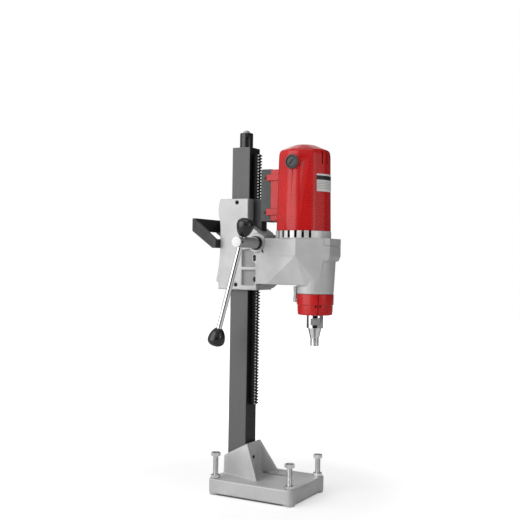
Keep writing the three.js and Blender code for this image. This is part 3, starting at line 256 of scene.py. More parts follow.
def red_enamel():
    """Gloss red enamel with a slight orange-peel skin."""
    s = Surface("red_enamel")
    patches = s.noise(60, 2)
    peel = s.noise(3.2, 2)
    colour = s.mix(s.spread(patches, 0, 1), (0.56, 0.004, 0.006), (0.63, 0.007, 0.008))
    dusty = s.mix(s.spread(s.noise(0.7, 3), 0, 0.06), colour, (0.62, 0.08, 0.06))
    worn = s.math("MULTIPLY", s.edges(0.9), s.spread(s.noise(6), 0, 0.5))
    skin = s.bump(peel, 0.045, s.bump(s.noise(0.6, 2), 0.008))
    seen = s.node("ShaderNodeLightPath").outputs["Is Camera Ray"]
    dusty = s.mix(seen, (0.10, 0.06, 0.06), dusty)  # keeps its colour off the pieces beside it
    return s.finish(s.mix(worn, dusty, (0.72, 0.10, 0.085)), s.spread(peel, 0.24, 0.33), 0, skin, coat=0.18, specular=0.35)


def gloss_black():
    """Glossy black phenolic moulding, a little hazed by handling."""
    s = Surface("black_moulding")
    haze = s.noise(9, 3)
    colour = s.mix(s.spread(haze, 0, 1), (0.004, 0.004, 0.004), (0.011, 0.011, 0.012))
    fine = s.noise(0.8, 3)
    return s.finish(colour, s.spread(haze, 0.15, 0.30), 0, s.bump(fine, 0.006), coat=0.3)


def grey_moulding():
    """Dark grey plastic with a fine spark-eroded texture."""
    s = Surface("grey_moulding")
    texture = s.noise(0.55, 2)
    colour = s.mix(s.spread(s.noise(30), 0, 1), (0.050, 0.058, 0.055), (0.070, 0.080, 0.076))
    worn = s.math("MULTIPLY", s.edges(0.9), s.spread(s.noise(6), 0, 0.6))
    skin = s.bump(texture, 0.035)
    return s.finish(s.mix(worn, colour, (0.17, 0.18, 0.18)), s.spread(texture, 0.46, 0.62), 0, skin)


def metal(name, colour, tint, roughness, size, stretch=(1, 1, 1), depth=0.01, outline=None, dark_centre_reflection=None):
    """Bare metal whose tool marks are size millimetres apart and drawn out by stretch.

    outline is where a painted reflection darkens the metal as it curves away from the viewer, standing for dark
    surroundings, and dark_centre_reflection is a painted dark line where the surface faces the viewer, giving way to
    the metal's colour as it curves away.
    """
    s = Surface(name)
    marks = s.noise(size, 3, stretch)
    cloud = s.noise(18, 3)
    base = s.mix(s.spread(cloud, 0, 1), colour, tint)
    # Painted reflections: the rim darkens towards grazing angles, and a dark line runs where the surface faces the
    # viewer.
    if outline:
        base = s.mix(s.rim(*outline), base, (0.02, 0.02, 0.02))
    if dark_centre_reflection:
        base = s.mix(s.rim(*dark_centre_reflection), (0.04, 0.04, 0.04), base)
    rough = s.math("ADD", s.spread(marks, *roughness), s.spread(cloud, -0.03, 0.04))
    return s.finish(base, rough, 1.0, s.bump(marks, depth))


def dark_metal(name, colour, roughness):
    """Black-oxide steel with bare metal showing on its edges."""
    s = Surface(name)
    cloud = s.noise(5, 3)
    worn = s.math("MULTIPLY", s.edges(0.5), s.spread(cloud, 0.1, 0.8))
    base = s.mix(worn, colour, (0.24, 0.23, 0.22))
    return s.finish(base, s.spread(cloud, *roughness), 0.75, s.bump(s.noise(0.7), 0.012))


def plain(name, colour, roughness, metallic=0.0):
    """Simple finish of a piece inside the casings."""
    s = Surface(name)
    cloud = s.noise(4, 3)
    darker = tuple(0.7 * channel for channel in colour)
    return s.finish(s.mix(s.spread(cloud, 0, 1), darker, colour), s.spread(cloud, *roughness), metallic,
                    s.bump(s.noise(0.6), 0.01))


def vent_alloy(centre, rim):
    """Bright fins, with the slots between them and everything inside the fins' outer edge painted near-black as a
    painted shadow.
    """
    s = Surface("vent_alloy")
    outside = s.spread(s.around(centre.x, centre.y), 0, 1, rim - 2.2, rim - 0.9)
    cloud = s.noise(9, 3)
    bright = s.mix(s.spread(cloud, 0, 1), (0.72, 0.72, 0.71), (0.82, 0.82, 0.81))
    # Painted shadow: inside the fins' outer edge, the slots and the plate are painted near-black.
    colour = s.mix(outside, (0.010, 0.010, 0.010), bright)
    return s.finish(colour, s.spread(cloud, 0.34, 0.46), s.math("MULTIPLY", outside, 0.35), s.bump(s.noise(0.8), 0.01))


def hub_alloy(face):
    """Turned alloy: dull round the sides, with the turned end face painted near-white as a painted highlight of the key
    light.
    """
    s = Surface("hub_alloy")
    rings = s.noise(0.6, 3, (30, 1, 30))
    # Painted highlight: the end face is painted near-white and less metallic than the sides.
    lit_end = s.spread(s.axis("Y"), 1, 0, face + 0.2, face + 1.0)
    colour = s.mix(lit_end, (0.36, 0.36, 0.365), (0.90, 0.90, 0.89))
    rough = s.math("ADD", s.spread(rings, 0.40, 0.52), s.math("MULTIPLY", lit_end, 0.12))
    return s.finish(colour, rough, s.spread(lit_end, 0.45, 0.1, 0, 1), s.bump(rings, 0.012))


def plate_print(bottom, top):
    """A pale rating plate with a dark heading band and blank ruled lines."""
    s = Surface("rating_plate")
    height = s.spread(s.axis("Z"), 0, 1, bottom, top)
    heading = s.math("MULTIPLY", s.math("GREATER_THAN", height, 0.66), s.math("LESS_THAN", height, 0.90))
    rows = s.math("GREATER_THAN", s.math("FRACT", s.math("MULTIPLY", height, 11.0), 0.0), 0.62)
    in_table = s.math("MULTIPLY", s.math("LESS_THAN", height, 0.62), s.math("GREATER_THAN", height, 0.14))
    ruled = s.math("MULTIPLY", rows, in_table)
    paper = s.mix(s.spread(s.noise(3), 0, 1), (0.78, 0.78, 0.77), (0.86, 0.86, 0.85))
    lined = s.mix(s.math("MULTIPLY", ruled, 0.6), paper, (0.22, 0.22, 0.22))
    return s.finish(s.mix(heading, lined, (0.015, 0.015, 0.016)), s.spread(s.noise(6), 0.34, 0.46))


rack_tip = high("feed_rack").x
FINISHES = {
    "cast_grey": cast_paint(),
    "column_black": powder_coat(),
    "rack_black": rack_steel(rack_tip),
    "black_fastener": dark_metal("black_fastener", (0.022, 0.021, 0.021), (0.32, 0.46)),
    "zinc_plate": metal("zinc_plate", (0.80, 0.80, 0.81), (0.86, 0.86, 0.84), (0.14, 0.26), 1.0, depth=0.012,
                        outline=(0.62, 0.86)),
    "guide_bronze": metal("guide_bronze", (0.42, 0.28, 0.12), (0.52, 0.36, 0.17), (0.35, 0.5), 1.2, (1, 1, 20)),
    "black_moulding": gloss_black(),
    "handle_black": satin_black(),
    "plain_steel": metal("plain_steel", (0.40, 0.40, 0.41), (0.50, 0.49, 0.48), (0.28, 0.42), 0.8),
    "machined_alloy": metal("machined_alloy", (0.72, 0.72, 0.72), (0.80, 0.80, 0.79), (0.26, 0.4), 0.5, (30, 1, 30)),
    "bright_chrome": metal("bright_chrome", (0.82, 0.82, 0.83), (0.88, 0.88, 0.88), (0.06, 0.13), 0.6, (20, 20, 1),
                           0.003, outline=(0.62, 0.80), dark_centre_reflection=(0.02, 0.045)),
    "spindle_chrome": metal("spindle_chrome", (0.82, 0.82, 0.83), (0.88, 0.88, 0.88), (0.06, 0.13), 0.6, (20, 20, 1),
                            0.003, outline=(0.50, 0.68), dark_centre_reflection=(0.03, 0.075)),
    "red_enamel": red_enamel(),
    "grey_moulding": grey_moulding(),
    "copper_bars": metal("copper_bars", (0.50, 0.22, 0.11), (0.40, 0.17, 0.08), (0.3, 0.45), 1.0, (1, 1, 20)),
    "carbon_block": plain("carbon_block", (0.02, 0.02, 0.02), (0.6, 0.8)),
}


# ---------- mesh tools ----------
def new_object(name, bm):
    """An object made from bm, smooth but for its sharp edges."""
    bmesh.ops.recalc_face_normals(bm, faces=bm.faces)
    mesh = bpy.data.meshes.new(name)
    bm.to_mesh(mesh)
    bm.free()
    if "custom_normal" in mesh.attributes:
        mesh.attributes.remove(mesh.attributes["custom_normal"])
    return link(name, mesh)


def link(name, mesh):
    shade(mesh)
    made = bpy.data.objects.new(name, mesh)
    bpy.context.scene.collection.objects.link(made)
    return made


def shade(mesh, angle=SHARP):
    mesh.shade_smooth()
    mesh.set_sharp_from_angle(angle=angle)


def applied(made):
    """The object with its modifiers turned into mesh."""
    bpy.context.view_layer.update()
    depsgraph = bpy.context.evaluated_depsgraph_get()
    mesh = bpy.data.meshes.new_from_object(made.evaluated_get(depsgraph))
    made.modifiers.clear()
    made.data = mesh
    return made


def combine(made, other, operation):
    """made joined with, cut by or limited to other, which is used up."""
    modifier = made.modifiers.new("combine", "BOOLEAN")
    modifier.operation = operation
    modifier.solver = "EXACT"
    modifier.object = other
    applied(made)
    bpy.data.objects.remove(other)
    shade(made.data)
    return made


def soften(made, width, segments=2, angle=SHARP):
    """Rounds the object's sharp edges by width millimetres."""
    modifier = made.modifiers.new("round", "BEVEL")
    modifier.width = width * MM
    modifier.segments = segments
    modifier.limit_method = "ANGLE"
    modifier.angle_limit = angle
    modifier.harden_normals = True
    modifier.miter_outer = "MITER_ARC"
    weigh = made.modifiers.new("weigh", "WEIGHTED_NORMAL")
    weigh.keep_sharp = True
    return applied(made)


def dress(made, *nodes):
    """made stands for these CAD nodes, and takes the first one's body and finish."""
    slot = SLOT_OF[nodes[0]]
    made.data.materials.clear()
    made.data.materials.append(FINISHES[slot])
    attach(made, BODY_OF[nodes[0]])
    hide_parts(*nodes)
    return made


def trim(made, body, material):
    """A piece too small to be a CAD node of its own."""
    made.data.materials.clear()
    made.data.materials.append(material)
    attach(made, body)
    return made


def ring_points(bm, radius, height, sides):
    if radius == 0:
        return [bm.verts.new((0, 0, height * MM))]
    angles = [2 * math.pi * i / sides for i in range(sides)]
    return [bm.verts.new((radius * math.cos(a) * MM, radius * math.sin(a) * MM, height * MM)) for a in angles]


def bridge(bm, first, second):
    """Faces between two rings, or between a ring and a point."""
    count = max(len(first), len(second))
    for i in range(count if count > 1 else 0):
        j = (i + 1) % count
        corners = [first[i % len(first)], first[j % len(first)], second[j % len(second)], second[i % len(second)]]
        bm.faces.new(list(dict.fromkeys(corners)))


def turned(name, profile, place=Matrix.Identity(4), sides=ROUND_SIDES):
    """A profile of (radius, height) turned about place's z axis. It runs from axis to axis, or ends where it starts."""
    bm = bmesh.new()
    closed = profile[0] == profile[-1]
    rings = [ring_points(bm, r, h, sides) for r, h in (profile[:-1] if closed else profile)]
    for first, second in zip(rings, rings[1:] + rings[:1] if closed else rings[1:]):
        bridge(bm, first, second)
    bm.transform(place)
    return new_object(name, bm)


def at(x=0.0, y=0.0, z=0.0, direction=(0, 0, 1)):
    """The place whose z axis leaves x, y, z along direction."""
    turn = Vector((0, 0, 1)).rotation_difference(Vector(direction)).to_matrix().to_4x4()
    return Matrix.Translation(Vector((x, y, z)) * MM) @ turn


def brick(name, lowest, highest, turn=Matrix.Identity(4)):
    """A box between two corners, then turned."""
    bm = bmesh.new()
    bmesh.ops.create_cube(bm, size=1)
    size = Vector(highest) - Vector(lowest)
    centre = (Vector(highest) + Vector(lowest)) / 2
    bm.transform(turn @ Matrix.Translation(centre * MM) @ Matrix.Diagonal((*(size * MM), 1)))
    return new_object(name, bm)


def smooth_line(points, steps=5):
    """Points on a Catmull-Rom curve through the given ones."""
    padded = [points[0], *points, points[-1]]
    line = []
    for before, start, end, after in zip(padded, padded[1:], padded[2:], padded[3:]):
        for k in range(steps):
            t = k / steps
            line.append(tuple(
                0.5 * (2 * b + (c - a) * t + (2 * a - 5 * b + 4 * c - d) * t ** 2 + (3 * b - a - 3 * c + d) * t ** 3)
                for a, b, c, d in zip(before, start, end, after)
            ))
    return [*line, points[-1]]


def refined(node, width, segments=2):
    """A copy of a CAD node with its flats made whole and its edges rounded."""
    bm = bmesh.new()
    bm.from_mesh(frame["nodes"][node].data)
    bmesh.ops.remove_doubles(bm, verts=bm.verts, dist=0.01 * MM)
    bmesh.ops.dissolve_limit(bm, angle_limit=math.radians(1), verts=bm.verts, edges=bm.edges)
    return dress(soften(new_object(node + "_finished", bm), width, segments), node)


def casting(node, voxel, passes, keep):
    """A CAD node with cast fillets: its skin is laid out again in small squares and relaxed."""
    bm = bmesh.new()
    bm.from_mesh(frame["nodes"][node].data)
    bmesh.ops.remove_doubles(bm, verts=bm.verts, dist=0.01 * MM)
    made = new_object(node + "_casting", bm)
    squares = made.modifiers.new("squares", "REMESH")
    squares.mode = "VOXEL"
    squares.voxel_size = voxel * MM
    relax = made.modifiers.new("relax", "SMOOTH")
    relax.factor = 0.5
    relax.iterations = passes
    thin = made.modifiers.new("thin", "DECIMATE")
    thin.ratio = keep
    applied(made)
    made.data.shade_smooth()
    return dress(made, node)


# ---------- threads and fasteners ----------
def threaded_rod(name, radius, start, end, pitch, depth, sides=SMALL_SIDES):
    """A rod with a real helical thread that fades out at both ends."""
    rows_per_turn = 7
    rows = round((end - start) / pitch * rows_per_turn)
    bm = bmesh.new()
    rings = []
    for i in range(rows + 1):
        z = start + (end - start) * i / rows
        fade = max(0.0, min(1.0, (z - start) / pitch, (end - z) / pitch))
        ring = []
        for k in range(sides):
            turn = k / sides
            angle = 2 * math.pi * turn
            groove = min(1.0, max(0.0, 1.6 * abs(2 * ((z / pitch - turn) % 1) - 1) - 0.3))
            r = (radius - depth * (1 - fade) * 0.5 - depth * groove * fade) * MM
            ring.append(bm.verts.new((r * math.cos(angle), r * math.sin(angle), z * MM)))
        rings.append(ring)
    for first, second in zip(rings, rings[1:]):
        bridge(bm, first, second)
    bm.faces.new(rings[0])
    bm.faces.new(rings[-1])
    made = new_object(name, bm)
    return made


def hexagon_block(name, flats, start, end, chamfer, both=True):
    """A hexagon with the round chamfer of a bolt head: on top only, or at both ends."""
    corner = flats / math.sqrt(3)
    inner = flats / 2 - 0.2
    bm = bmesh.new()
    rings = [ring_points(bm, corner, z, 6) for z in (start, end)]
    bridge(bm, *rings)
    for ring in rings:
        bm.faces.new(ring)
    prism = new_object(name, bm)
    foot = [(0, start - 1), (inner, start)] if both else [(0, start - 1), (corner + 2, start - 1)]
    slope = corner + 0.5 - inner
    waist = [(inner + slope, start + chamfer)] if both else []
    crown = [(inner + slope, end - chamfer), (inner, end), (0, end + 1)]
    limit = turned(name + "_limit", [*foot, *waist, *crown])
    return combine(prism, limit, "INTERSECT")


def place_copy(name, source, where, node):
    """A copy of a master object's mesh, moved to where and standing for a CAD node."""
    mesh = source.data.copy()
    mesh.transform(where)
    made = bpy.data.objects.new(name, mesh)
    bpy.context.scene.collection.objects.link(made)
    return dress(made, node)


# ---------- stand ----------
CORNERS = ("front_left", "front_right", "rear_left", "rear_right")


def levelling_screws():
    """Four hexagon screws with a thread down to a rounded tip, and their lock nuts."""
    first = "levelling_screw_" + CORNERS[0]
    head = 9.0
    foot, top = low(first).z, high(first).z
    shank = threaded_rod("levelling_screw", 6.9, foot + 2, top - head + 0.5, 2.0, 1.15)
    tip = turned("tip", [(0, foot), (3.6, foot), (5.0, foot + 0.8), (5.9, foot + 2.5), (0, foot + 2.5)], sides=SMALL_SIDES)
    combine(shank, tip, "UNION")
    washer_face = turned("face", [(0, top - head - 0.4), (10.2, top - head - 0.4), (10.2, top - head + 0.5),
                                  (0, top - head + 0.5)])
    block = combine(hexagon_block("head", 22.0, top - head, top, 1.6, both=False), washer_face, "UNION")
    dimple = turned("dimple", [(0, top - 0.8), (6.2, top - 0.5), (7.6, top + 1), (0, top + 1)])
    combine(shank, combine(block, dimple, "DIFFERENCE"), "UNION")
    nut_low, nut_high = low("levelling_nut_" + CORNERS[0]).z, high("levelling_nut_" + CORNERS[0]).z
    nut = hexagon_block("levelling_nut", 22.0, nut_low, nut_high, 1.5)
    bore = turned("bore", [(0, nut_low - 1), (9.2, nut_low - 1), (7.4, nut_low + 1), (7.4, nut_high - 1),
                           (9.2, nut_high + 1), (0, nut_high + 1)])
    combine(nut, bore, "DIFFERENCE")
    for index, corner in enumerate(CORNERS):
        centre = middle("levelling_screw_" + corner)
        rise = low("levelling_screw_" + corner).z - foot
        for kind, master in (("levelling_screw_", shank), ("levelling_nut_", nut)):
            spin = Matrix.Rotation(0.4 + 0.7 * index, 4, "Z")
            lift = rise if master is shank else 0
            where = Matrix.Translation(Vector((centre.x, centre.y, lift)) * MM) @ spin
            place_copy(kind + corner + "_finished", master, where, kind + corner)
    for master in (shank, nut):
        bpy.data.objects.remove(master)


def clamp_screw():
    """The socket set screw in the front wall of the base's socket."""
    node = "column_clamp_screw"
    start, end, centre = low(node).x, high(node).x, middle(node)
    length, r = end - start, (high(node).z - low(node).z) / 2
    screw = turned("column_clamp_screw_finished", [(0, 0), (r - 0.8, 0), (r, 0.8), (r, length - 0.8), (r - 0.8, length),
                                                   (0, length)], sides=SMALL_SIDES)
    key = hexagon_block("key", 4.0, length - 4, length + 2, 0.2)
    combine(screw, key, "DIFFERENCE")
    screw.data.transform(at(start, centre.y, centre.z, (1, 0, 0)))
    dress(screw, node)


def jack():
    """The brace on top of the column: a black nut and a domed steel screw."""
    foot, top = low("jack_nut").z, high("jack_nut").z
    r = 17.5
    nut = turned("jack_nut_finished", [
        (10.4, foot), (r - 0.8, foot), (r, foot + 0.8), (r, top - 2.2), (r - 0.6, top - 0.8), (r - 2.2, top), (11.2, top), (10.4, top - 0.8), (10.4, foot),
    ])
    for turn in (0.6, 0.6 + math.pi / 2):
        hole = turned("tommy_hole", [(0, -30), (3.2, -30), (3.2, 30), (0, 30)],
                      at(0, 0, foot + 26, (math.cos(turn), math.sin(turn), 0)), SMALL_SIDES)
        combine(nut, hole, "DIFFERENCE")
    core = turned("core_way", [(0, foot - 1), (10.3, foot - 1), (10.3, top + 1), (0, top + 1)])
    dress(combine(nut, core, "DIFFERENCE"), "jack_nut")
    bottom, tip = low("jack_screw").z, high("jack_screw").z
    neck = top + 0.3
    dome = [(9.4 * math.cos(a), neck + (tip - neck) * math.sin(a)) for a in [k * math.pi / 16 for k in range(8)]]
    screw = threaded_rod("jack_screw_finished", 9.6, bottom, neck - 3, 4.0, 1.4)
    combine(screw, turned("dome", [(0, neck - 5), (9.4, neck - 5), *dome, (0, tip)]), "UNION")
    dress(screw, "jack_screw")


# ---------- carriage and feed ----------
def guide_screw(node):
    """A socket set screw with a cupped hexagon recess."""
    start, end, centre = low(node).y, high(node).y, middle(node)
    length = end - start
    body = turned(node + "_finished", [(0, 0), (4.2, 0), (5, 0.9), (5, length - 0.9), (4.2, length), (0, length)],
                  sides=SMALL_SIDES)
    bm = bmesh.new()
    rings = [ring_points(bm, 2.9, z, 6) for z in (length - 4, length + 1)]
    bridge(bm, *rings)
    for ring in rings:
        bm.faces.new(ring)
    combine(body, new_object("recess", bm), "DIFFERENCE")
    soften(body, 0.2, 1)
    body.data.transform(at(centre.x, end, centre.z, (0, -1, 0)))
    dress(body, node)


def arm_bolt(node):
    """A hexagon bolt whose head stands in a lug of the carriage."""
    start, end, centre = low(node).x, high(node).x, middle(node)
    head, length = 5.2, end - start
    bolt = hexagon_block(node + "_finished", 11.0, -head, 0, 0.8, both=False)
    shank = turned("shank", [(0, -length), (2.9, -length), (3.5, 0.7 - length), (3.5, 0.2 - head), (0, 0.2 - head)],
                   sides=SMALL_SIDES)
    combine(bolt, shank, "UNION")
    bolt.data.transform(at(start, centre.y, centre.z, (-1, 0, 0)))
    dress(bolt, node)


def feed_bush(node, side):
    """A thick-flanged bush with a snap ring in its face."""
    face = max(abs(high(node).y), abs(low(node).y))
    centre = middle(node)
    inner, seat = face - 41.5, face - 7.7
    bush = turned(node + "_finished", [
        (8.3, inner), (12, inner), (12, seat), (17.4, seat), (18, seat + 0.6), (18, face - 0.8), (17.2, face),
        (13.4, face), (13.0, face - 0.9), (10.6, face - 0.9), (10.2, face), (8.7, face), (8.3, face - 0.4), (8.3, inner),
    ], at(centre.x, 0, centre.z, (0, side, 0)))
    dress(bush, node)


def lock_lever():
    """A cast clamp lever: a hub, a tapering arm and a round end."""
    node = "carriage_lock_lever"
    lowest, highest = low(node), high(node)
    x, z = middle(node).x, highest.z - 9
    inner = lowest.y
    face = 42.3
    hub = turned(node + "_finished", [
        (0, inner), (4.9, inner), (4.9, face + 0.8), (8.2, face + 0.8), (9, face + 1.6), (9, face + 12), (8, face + 13),
        (4.4, face + 13), (4.0, face + 12), (0, face + 12),
    ], at(x, 0, z, (0, 1, 0)), SMALL_SIDES)
    bm = bmesh.new()
    arm = z - lowest.z
    rings = []
    for step in range(11):
        t = step / 10
        width = 5.2 - 2.2 * t + (1.6 * math.sin(math.pi * (t - 0.7) / 0.3) if t > 0.7 else 0)
        thickness = 3.6 - 0.9 * t
        centre_y = face + 8.5 + 3.2 * t
        ring = []
        for k in range(24):
            a = 2 * math.pi * k / 24
            ring.append(bm.verts.new(Vector((
                x + width * math.cos(a), centre_y + thickness * math.sin(a), z - 0.5 - (arm - 1.0) * t)) * MM))
        rings.append(ring)
    for first, second in zip(rings, rings[1:]):
        bridge(bm, first, second)
    for ring in (rings[0], rings[-1]):
        bm.faces.new(ring)
    arm_piece = soften(new_object("arm", bm), 0.9, 3, math.radians(60))
    dress(soften(combine(hub, arm_piece, "UNION"), 0.35, 2, math.radians(40)), node)


slide = Vector(JOINT["tbar_slide"]["axis"])
shaft = Vector(JOINT["feed_shaft_spin"]["pos_m"]) / MM
bar_middle = Vector((shaft.x, middle("tbar_rod").y, shaft.z))


def along_bar(distance):
    """The place on the T-bar's axis, distance below the hub, whose z axis points down the bar."""
    point = bar_middle - slide * distance
    return at(point.x, point.y, point.z, tuple(-slide))


def crank_hub():
    """The turned hub on the feed shaft, drilled across for the T-bar."""
    node = "crank_hub"
    near, far = low(node).y, high(node).y
    r = 13.4
    length = far - near
    collar = 15.7
    hub = turned("crank_hub_finished", [
        (0, 0), (r - 0.8, 0), (r - 0.2, 0.3), (r, 1.0), (r, length - 7.2), (r + 0.5, length - 6.4), (collar - 0.6, length - 6),
        (collar, length - 5.4), (collar, length - 0.8), (collar - 0.8, length), (0, length),
    ], at(shaft.x, near, shaft.z, (0, 1, 0)))
    for turn in range(4):
        angle = math.radians(20 + 90 * turn)
        notch = turned("notch", [(0, length - 6.4), (1.8, length - 6.4), (1.8, length + 1), (0, length + 1)],
                       at(shaft.x + collar * math.cos(angle), near, shaft.z + collar * math.sin(angle), (0, 1, 0)),
                       SMALL_SIDES)
        combine(hub, notch, "DIFFERENCE")
    shaft_way = turned("shaft_way", [(0, 69.5), (8.3, 69.5), (8.3, length + 1), (0, length + 1)],
                       at(shaft.x, near, shaft.z, (0, 1, 0)))
    combine(hub, shaft_way, "DIFFERENCE")
    way = turned("bar_way", [(0, -20), (9.4, -20), (7.4, -11), (7.4, 11), (9.4, 20), (0, 20)], along_bar(0))
    dress(combine(hub, way, "DIFFERENCE"), node)
    hub.data.materials[0] = hub_alloy(near)
    pin = turned("crank_set_screw", [(0, 0), (2.6, 0), (3, 0.4), (3, 3), (0, 3)],
                 at(shaft.x + 11.2, near + 9, shaft.z, (1, 0, 0)), SMALL_SIDES)
    trim(pin, BODY_OF[node], FINISHES["black_fastener"])


def bar_and_knobs():
    """The chrome T-bar, with a flared knob on each end."""
    neck = {"tbar_knob_lower": 227.0, "tbar_knob_upper": -14.5}
    inside = 37
    top, bottom = neck["tbar_knob_upper"] - inside, neck["tbar_knob_lower"] + inside
    rod = turned("tbar_rod_finished", [(0, top), (6, top), (7, top + 1), (7, bottom - 1), (6, bottom), (0, bottom)],
                 along_bar(0))
    dress(rod, "tbar_rod")
    shape = smooth_line([(8.6, 0.0), (9.4, 0.7), (14, 6), (18, 13), (20.8, 21), (22, 28), (22, 33), (20, 39), (15, 43.8),
                         (8, 46.5), (0, 47)])
    for node, distance in neck.items():
        sign = 1 if distance > 0 else -1
        bore = [(0, inside + 1), (7.3, inside + 1), (7.3, 0)]
        profile = [(max(r, 0), distance + sign * s) for r, s in [*bore, *shape]]
        dress(turned(node + "_finished", profile, along_bar(0)), node)


# ---------- drill ----------
motor_axis = Vector(JOINT["armature_spin"]["pos_m"]) / MM
spindle_axis = Vector(JOINT["spindle_spin"]["pos_m"]) / MM
MOTOR_CORNERS = [quarter + corner for quarter in (0, 90, 180, 270) for corner in (11, 45, 79)]


def motor_section(radius, reach, steps=7):
    """The motor casing's outline: twelve flats whose corners are rounded over reach."""
    corners = [Vector((math.cos(math.radians(a)), math.sin(math.radians(a)))) * radius for a in MOTOR_CORNERS]
    points = []
    for index, corner in enumerate(corners):
        before, after = corners[index - 1], corners[(index + 1) % len(corners)]
        start = corner + (before - corner).normalized() * reach
        end = corner + (after - corner).normalized() * reach
        for k in range(steps + 1):
            t = k / steps
            points.append(start * (1 - t) ** 2 + corner * 2 * t * (1 - t) + end * t ** 2)
    return points


def motor_loft(name, levels):
    """Casing outlines stacked as (radius, reach, height), closed at both ends."""
    bm = bmesh.new()
    rings = []
    for radius, reach, z in levels:
        rings.append([
            bm.verts.new(Vector((motor_axis.x + p.x, motor_axis.y + p.y, z)) * MM) for p in motor_section(radius, reach)
        ])
    for first, second in zip(rings, rings[1:]):
        bridge(bm, first, second)
    for ring in (rings[0], rings[-1]):
        bm.faces.new(ring)
    return new_object(name, bm)


def motor_casing():
    """The red casing: a tapering shell with a low dome, brush bosses, vents and the pad for the switch box."""
    node = "motor_housing"
    foot, top = low(node).z, high(node).z
    shell = motor_loft("motor_housing_finished", [
        (71.2, 8, foot), (72.0, 8, foot + 0.9), (72.0, 8, foot + 6), (68.6, 8, top - 34), (68.1, 8, top - 27), (67.0, 8, top - 21),
        (65.0, 8, top - 17), (62.0, 8, top - 14.6), (30.0, 4, top - 1.6), (27.0, 4, top - 0.5), (24.0, 4, top),
    ])
    x, brush_z = motor_axis.x, middle("brush_cap_left").z
    joined = [brick("pad", (95, -36, 708), (125, 36, 840))]
    for low_z, high_z in ((811, 827), (722, 739)):
        for side in (-1, 1):
            sides = sorted((side * 30.3, side * 39.5))
            joined.append(brick("lug", (84, sides[0], low_z), (124, sides[1], high_z)))
    for side in (-1, 1):
        joined.append(turned("boss", [(0, 52), (21.5, 52), (20.4, 69), (19.4, 70), (0, 70)], at(x, 0, brush_z, (0, side, 0))))
    for other in joined:
        combine(shell, soften(other, 1.4, 3) if len(other.data.vertices) == 8 else other, "UNION")
    inside = motor_loft("inside", [(67, 8, foot - 2), (63.5, 8, top - 36), (60, 8, top - 24), (54, 6, top - 18), (25, 4, top - 6)])
    combine(shell, inside, "DIFFERENCE")
    for side in (-1, 1):
        way = turned("brush_way", [(0, 40), (15.3, 40), (15.3, 80), (0, 80)], at(x, 0, brush_z, (0, side, 0)))
        combine(shell, way, "DIFFERENCE")
    for turn in (0, 180):
        for angle in (-21, -7, 7, 21):
            spin = Matrix.Translation(Vector((x, 0, 0)) * MM) @ Matrix.Rotation(math.radians(turn + angle), 4, "Z")
            vent = soften(brick("vent", (50, -2.2, top - 52), (90, 2.2, top - 18)), 2.1, 4)
            vent.data.transform(spin)
            combine(shell, vent, "DIFFERENCE")
    dress(soften(shell, 0.6, 2, math.radians(40)), node)


def polar_solid(name, angles, radii, heights, filled, place):
    """The skin of the filled cells of a grid in angle, radius and height."""
    bm = bmesh.new()
    corners = {}

    def corner(i, j, k):
        key = (i % len(angles), j, k)
        if key not in corners:
            a, r = angles[key[0]], radii[j]
            corners[key] = bm.verts.new((r * math.cos(a) * MM, r * math.sin(a) * MM, heights[k] * MM))
        return corners[key]

    sides = (
        ((-1, 0, 0), ((0, 0, 0), (0, 1, 0), (0, 1, 1), (0, 0, 1))),
        ((1, 0, 0), ((1, 0, 0), (1, 0, 1), (1, 1, 1), (1, 1, 0))),
        ((0, -1, 0), ((0, 0, 0), (0, 0, 1), (1, 0, 1), (1, 0, 0))),
        ((0, 1, 0), ((0, 1, 0), (1, 1, 0), (1, 1, 1), (0, 1, 1))),
        ((0, 0, -1), ((0, 0, 0), (1, 0, 0), (1, 1, 0), (0, 1, 0))),
        ((0, 0, 1), ((0, 0, 1), (0, 1, 1), (1, 1, 1), (1, 0, 1))),
    )

    def is_filled(i, j, k):
        inside = 0 <= j < len(radii) - 1 and 0 <= k < len(heights) - 1
        return inside and filled(i % len(angles), j, k)

    for i in range(len(angles)):
        for j in range(len(radii) - 1):
            for k in range(len(heights) - 1):
                if not is_filled(i, j, k):
                    continue
                for (di, dj, dk), face in sides:
                    if not is_filled(i + di, j + dj, k + dk):
                        bm.faces.new([corner(i + a, j + b, k + c) for a, b, c in face])
    bm.transform(place)
    return new_object(name, bm)


def vent_ring():
    """The flange under the motor: a plate with a ring of fins and slots, and a cup for the bearing."""
    node = "motor_flange"
    foot, top = low(node).z, high(node).z
    slots, blind, half_slot = 24, (3, 4, 5, 20), math.radians(2.7)
    pitch = 2 * math.pi / slots
    first = math.radians(10 - 90)
    fin_steps = 4
    angles, in_slot = [], []
    for slot in range(slots):
        centre = first + slot * pitch
        angles += [centre - half_slot, centre]
        in_slot += [slot not in blind] * 2
        for step in range(fin_steps):
            angles.append(centre + half_slot + (pitch - 2 * half_slot) * step / fin_steps)
            in_slot.append(False)
    radii = (9.0, 15.3, 19.0, 60.0, 71.0)
    heights = (foot, foot + 1, foot + 4.7, foot + 16.7, top)

    def filled(i, j, k):
        if k == 0:
            return True
        if radii[j] == 60.0:
            return not in_slot[i]
        return k == 1 or (radii[j] == 15.3 and k == 2)

    ring = polar_solid("motor_flange_finished", angles, radii, heights, filled, at(motor_axis.x, motor_axis.y))
    dress(soften(ring, 0.7, 2), node)
    ring.data.materials[0] = vent_alloy(motor_axis, radii[-1])


